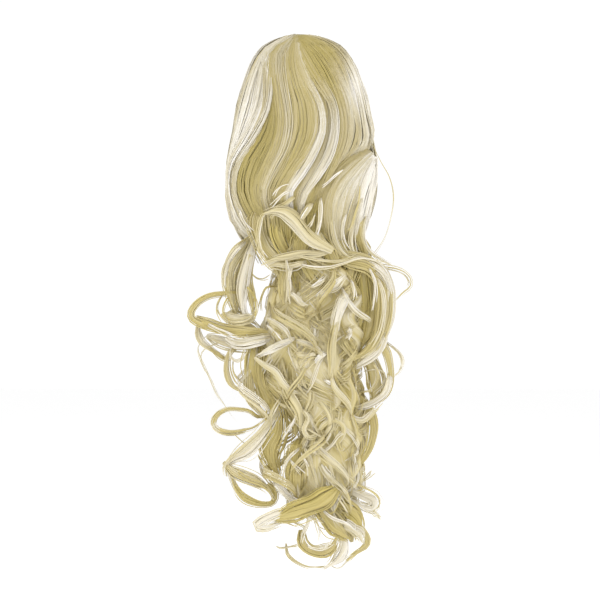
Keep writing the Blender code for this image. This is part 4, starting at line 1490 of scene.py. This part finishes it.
@dataclass
class CapAndComb:
    """The net cap with its edge binding, and the comb."""

    radius: float = 41 * MM
    roll: float = 1.3 * MM
    proud: float = 0.6 * MM
    around: int = 96
    across: int = 8
    gathers: int = 30
    gathered: float = 0.18

    def dress(self, net: bpy.types.Material, plastic: bpy.types.Material) -> None:
        """Gives the CAD cap and comb their finishes, and adds the binding."""
        for node, material in (("cap", net), ("comb", plastic)):
            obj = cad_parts[node]
            obj.data.materials.clear()
            obj.data.materials.append(material)
        self.binding(net)

    def binding(self, net: bpy.types.Material) -> None:
        """The elastic edge of the cap: a soft roll round its mouth."""
        bm = bmesh.new()
        rings = []
        for i in range(self.around):
            angle = 2 * math.pi * i / self.around
            gather = 1 + self.gathered * math.sin(self.gathers * angle)
            outward = Vector((math.cos(angle), 0, math.sin(angle)))
            middle = outward * self.radius + Vector((0, self.proud, 0))
            ring = []
            for j in range(self.across):
                turn = 2 * math.pi * j / self.across
                offset = outward * math.cos(turn) * self.roll + Vector((0, math.sin(turn) * self.roll, 0))
                ring.append(bm.verts.new(middle + offset * gather))
            rings.append(ring)
        for i, ring in enumerate(rings):
            after = rings[(i + 1) % self.around]
            for j in range(self.across):
                k = (j + 1) % self.across
                bm.faces.new((ring[j], ring[k], after[k], after[j]))
        bmesh.ops.recalc_face_normals(bm, faces=bm.faces)
        mesh = mesh_of(bm, "cap_binding")
        mesh.shade_smooth()
        mesh.materials.append(net)
        seat(in_scene("cap_binding", mesh))


@dataclass
class Studio:
    """The floor, the lights and the camera."""

    centre: tuple[float, float, float] = (0.0, -0.025, -0.212)
    aim: tuple[float, float, float] = (0.0, -0.02, -0.2)
    view_width: float = 0.6
    lens: float = 100.0
    sensor: float = 36.0
    floor_z: float = -0.62
    floor_size: float = 6.0
    floor_glow: float = 0.35
    seen_white: float = 0.35
    room_light: float = 0.68

    def build(self) -> None:
        """Sets up everything round the object."""
        self.floor()
        self.camera()
        self.world()
        self.softbox("softbox_left", (-1.5, -0.9, 0.5), 1.0, 12)
        self.softbox("softbox_right", (1.6, -0.8, 0.4), 1.0, 12)
        self.softbox("softbox_top", (0.0, -0.5, 1.5), 1.2, 4)
        self.softbox("softbox_front", (0.0, -2.4, 0.0), 1.6, 14)
        bpy.context.scene.view_settings.view_transform = "Standard"

    def floor(self) -> None:
        """A plain pale floor well below the lowest tip."""
        bm = bmesh.new()
        bmesh.ops.create_grid(bm, x_segments=1, y_segments=1, size=self.floor_size)
        mesh = mesh_of(bm, "studio_floor")
        material, _, shader = surface("pale_floor")
        shader.inputs["Base Color"].default_value = (0.93, 0.93, 0.93, 1)
        shader.inputs["Roughness"].default_value = 0.8
        shader.inputs["Emission Color"].default_value = (1, 1, 1, 1)
        shader.inputs["Emission Strength"].default_value = self.floor_glow
        mesh.materials.append(material)
        obj = in_scene("studio_floor", mesh)
        obj.location.z = self.floor_z

    def camera(self) -> None:
        """A level camera in front of the piece, framed as the photograph is."""
        data = bpy.data.cameras.new("camera")
        data.lens = self.lens
        data.sensor_width = self.sensor
        data.dof.use_dof = False
        distance = self.view_width * self.lens / data.sensor_width
        obj = in_scene("camera", data)
        obj.location = Vector(self.centre) - Vector((0, distance, 0))
        obj.rotation_euler = (math.radians(90), 0, 0)
        bpy.context.scene.camera = obj

    def world(self) -> None:
        """A white surrounding that also lights the hair softly."""
        world = bpy.data.worlds.new("white_room")
        bpy.context.scene.world = world
        world.use_nodes = True
        b = Bench(world.node_tree)
        background = world.node_tree.nodes["Background"]
        background.inputs[0].default_value = (1, 1, 1, 1)
        seen = b.add("ShaderNodeLightPath").outputs["Is Camera Ray"]
        b.feed(background.inputs[1], b.math("MULTIPLY_ADD", seen, self.seen_white, self.room_light))

    def softbox(self, name: str, place: tuple[float, float, float], size: float, power: float) -> None:
        """A square area light that faces the middle of the hairpiece."""
        data = bpy.data.lights.new(name, "AREA")
        data.size = size
        data.energy = power
        obj = in_scene(name, data)
        obj.location = place
        aim = Vector(self.aim) - Vector(place)
        obj.rotation_euler = aim.to_track_quat("-Z", "Y").to_euler()


def front_and_back(guides: list[Guide]) -> tuple[list[Guide], list[Guide]]:
    """The guides in front of the tail's middle, and those behind it."""
    front = [g for g in guides if g.path[:, 1].mean() < TAIL_MIDDLE_Y]
    back = [g for g in guides if g.path[:, 1].mean() >= TAIL_MIDDLE_Y]
    return front, back


def broad(guides: list[Guide], least: float) -> list[Guide]:
    """The guides of the broad locks, drawn in so that a solid lock hides below its strands."""
    picked = [g for g in guides if g.half_width.max() > least * MM]
    return [
        replace(g, half_width=BODY_WIDTH * g.half_width, half_thick=BODY_THICKNESS * g.half_thick)
        for g in picked
    ]


def main() -> None:
    """Dresses the hairpiece and sets up the studio."""
    logging.basicConfig(level=logging.INFO, format="%(message)s")
    streaks = streak_group()
    # The crown's finish is a darker copy of the curls' finish: painted shade, deepest in its shadow stop,
    # which the hollow's rows use.
    upper = HairFinish(
        "blond_top", shadow=(0.38, 0.31, 0.095), low=(0.455, 0.385, 0.20), middle=(0.55, 0.495, 0.345)
    )
    sheet = replace(upper, name="blond_sheet", source=ToneSource.ATTRIBUTE, across=240.0, along=3.0)
    lower = HairFinish("blond_curls")
    middle = replace(lower, name="blond_core", source=ToneSource.ATTRIBUTE, contrast=0.9, fine=0.7)
    net = MouldedFinish("blond_net", (0.42, 0.36, 0.2), (0.66, 0.6, 0.42), 900, (0.7, 0.95), 0.5)
    comb = MouldedFinish("comb_plastic", (0.5, 0.4, 0.2), (0.66, 0.57, 0.36), 160, (0.28, 0.42), 0.1)
    CapAndComb().dress(net.build(streaks), comb.build(streaks))
    dresser = Dresser()
    locks, strands = dresser.lock_tree, dresser.strand_tree
    crown, tail = Crown(), Tail()
    top, low = (upper.build(streaks), "crown_hair"), (lower.build(streaks), "tail_hair")
    skin = (sheet.build(streaks), "crown_hair")
    for name, part in crown.sheets().items():
        dresser.skin(name, part.mesh_rings(), skin)
    over, outer, under = crown.strand_guides(), crown.outer_guides(), crown.under_guides()
    values = {"Seed": 3, "Arc": math.pi, "Looseness": 0.5, "Shortest": 0.9}
    dresser.grown("crown_strands", over, strands, top, **values)
    bodies = broad(outer + under, LEAST_CROWN_BODY)
    dresser.grown("crown_outer_locks", bodies, locks, top, Sides=8, Grooves=3)
    dresser.grown("crown_outer_strands", outer + under, strands, top, Seed=5, Arc=math.pi)
    dresser.skin("tail_core", tail.core_rings(), (middle.build(streaks), "tail_hair"))
    hanging, web, strokes = tail.hanging_guides(), tail.web_guides(), tail.stroke_guides()
    front, back = front_and_back(hanging + web)
    bodies = broad(strokes, LEAST_CURL_BODY)
    dresser.grown("tail_locks", bodies, locks, low, Sides=8, Grooves=3)
    dresser.grown("tail_strands_front", front, strands, low, Seed=101)
    dresser.grown("tail_strands_back", back, strands, low, Seed=203)
    dresser.grown("tail_curls", strokes, strands, low, Seed=151, Strand_Radius=0.38 * MM)
    strays = Strays(STRAY_ROWS).guides()
    dresser.grown("stray_hairs", strays, strands, low, Seed=307, Strand_Radius=0.25 * MM)
    Studio().build()


if __name__ == "__main__":
    main()
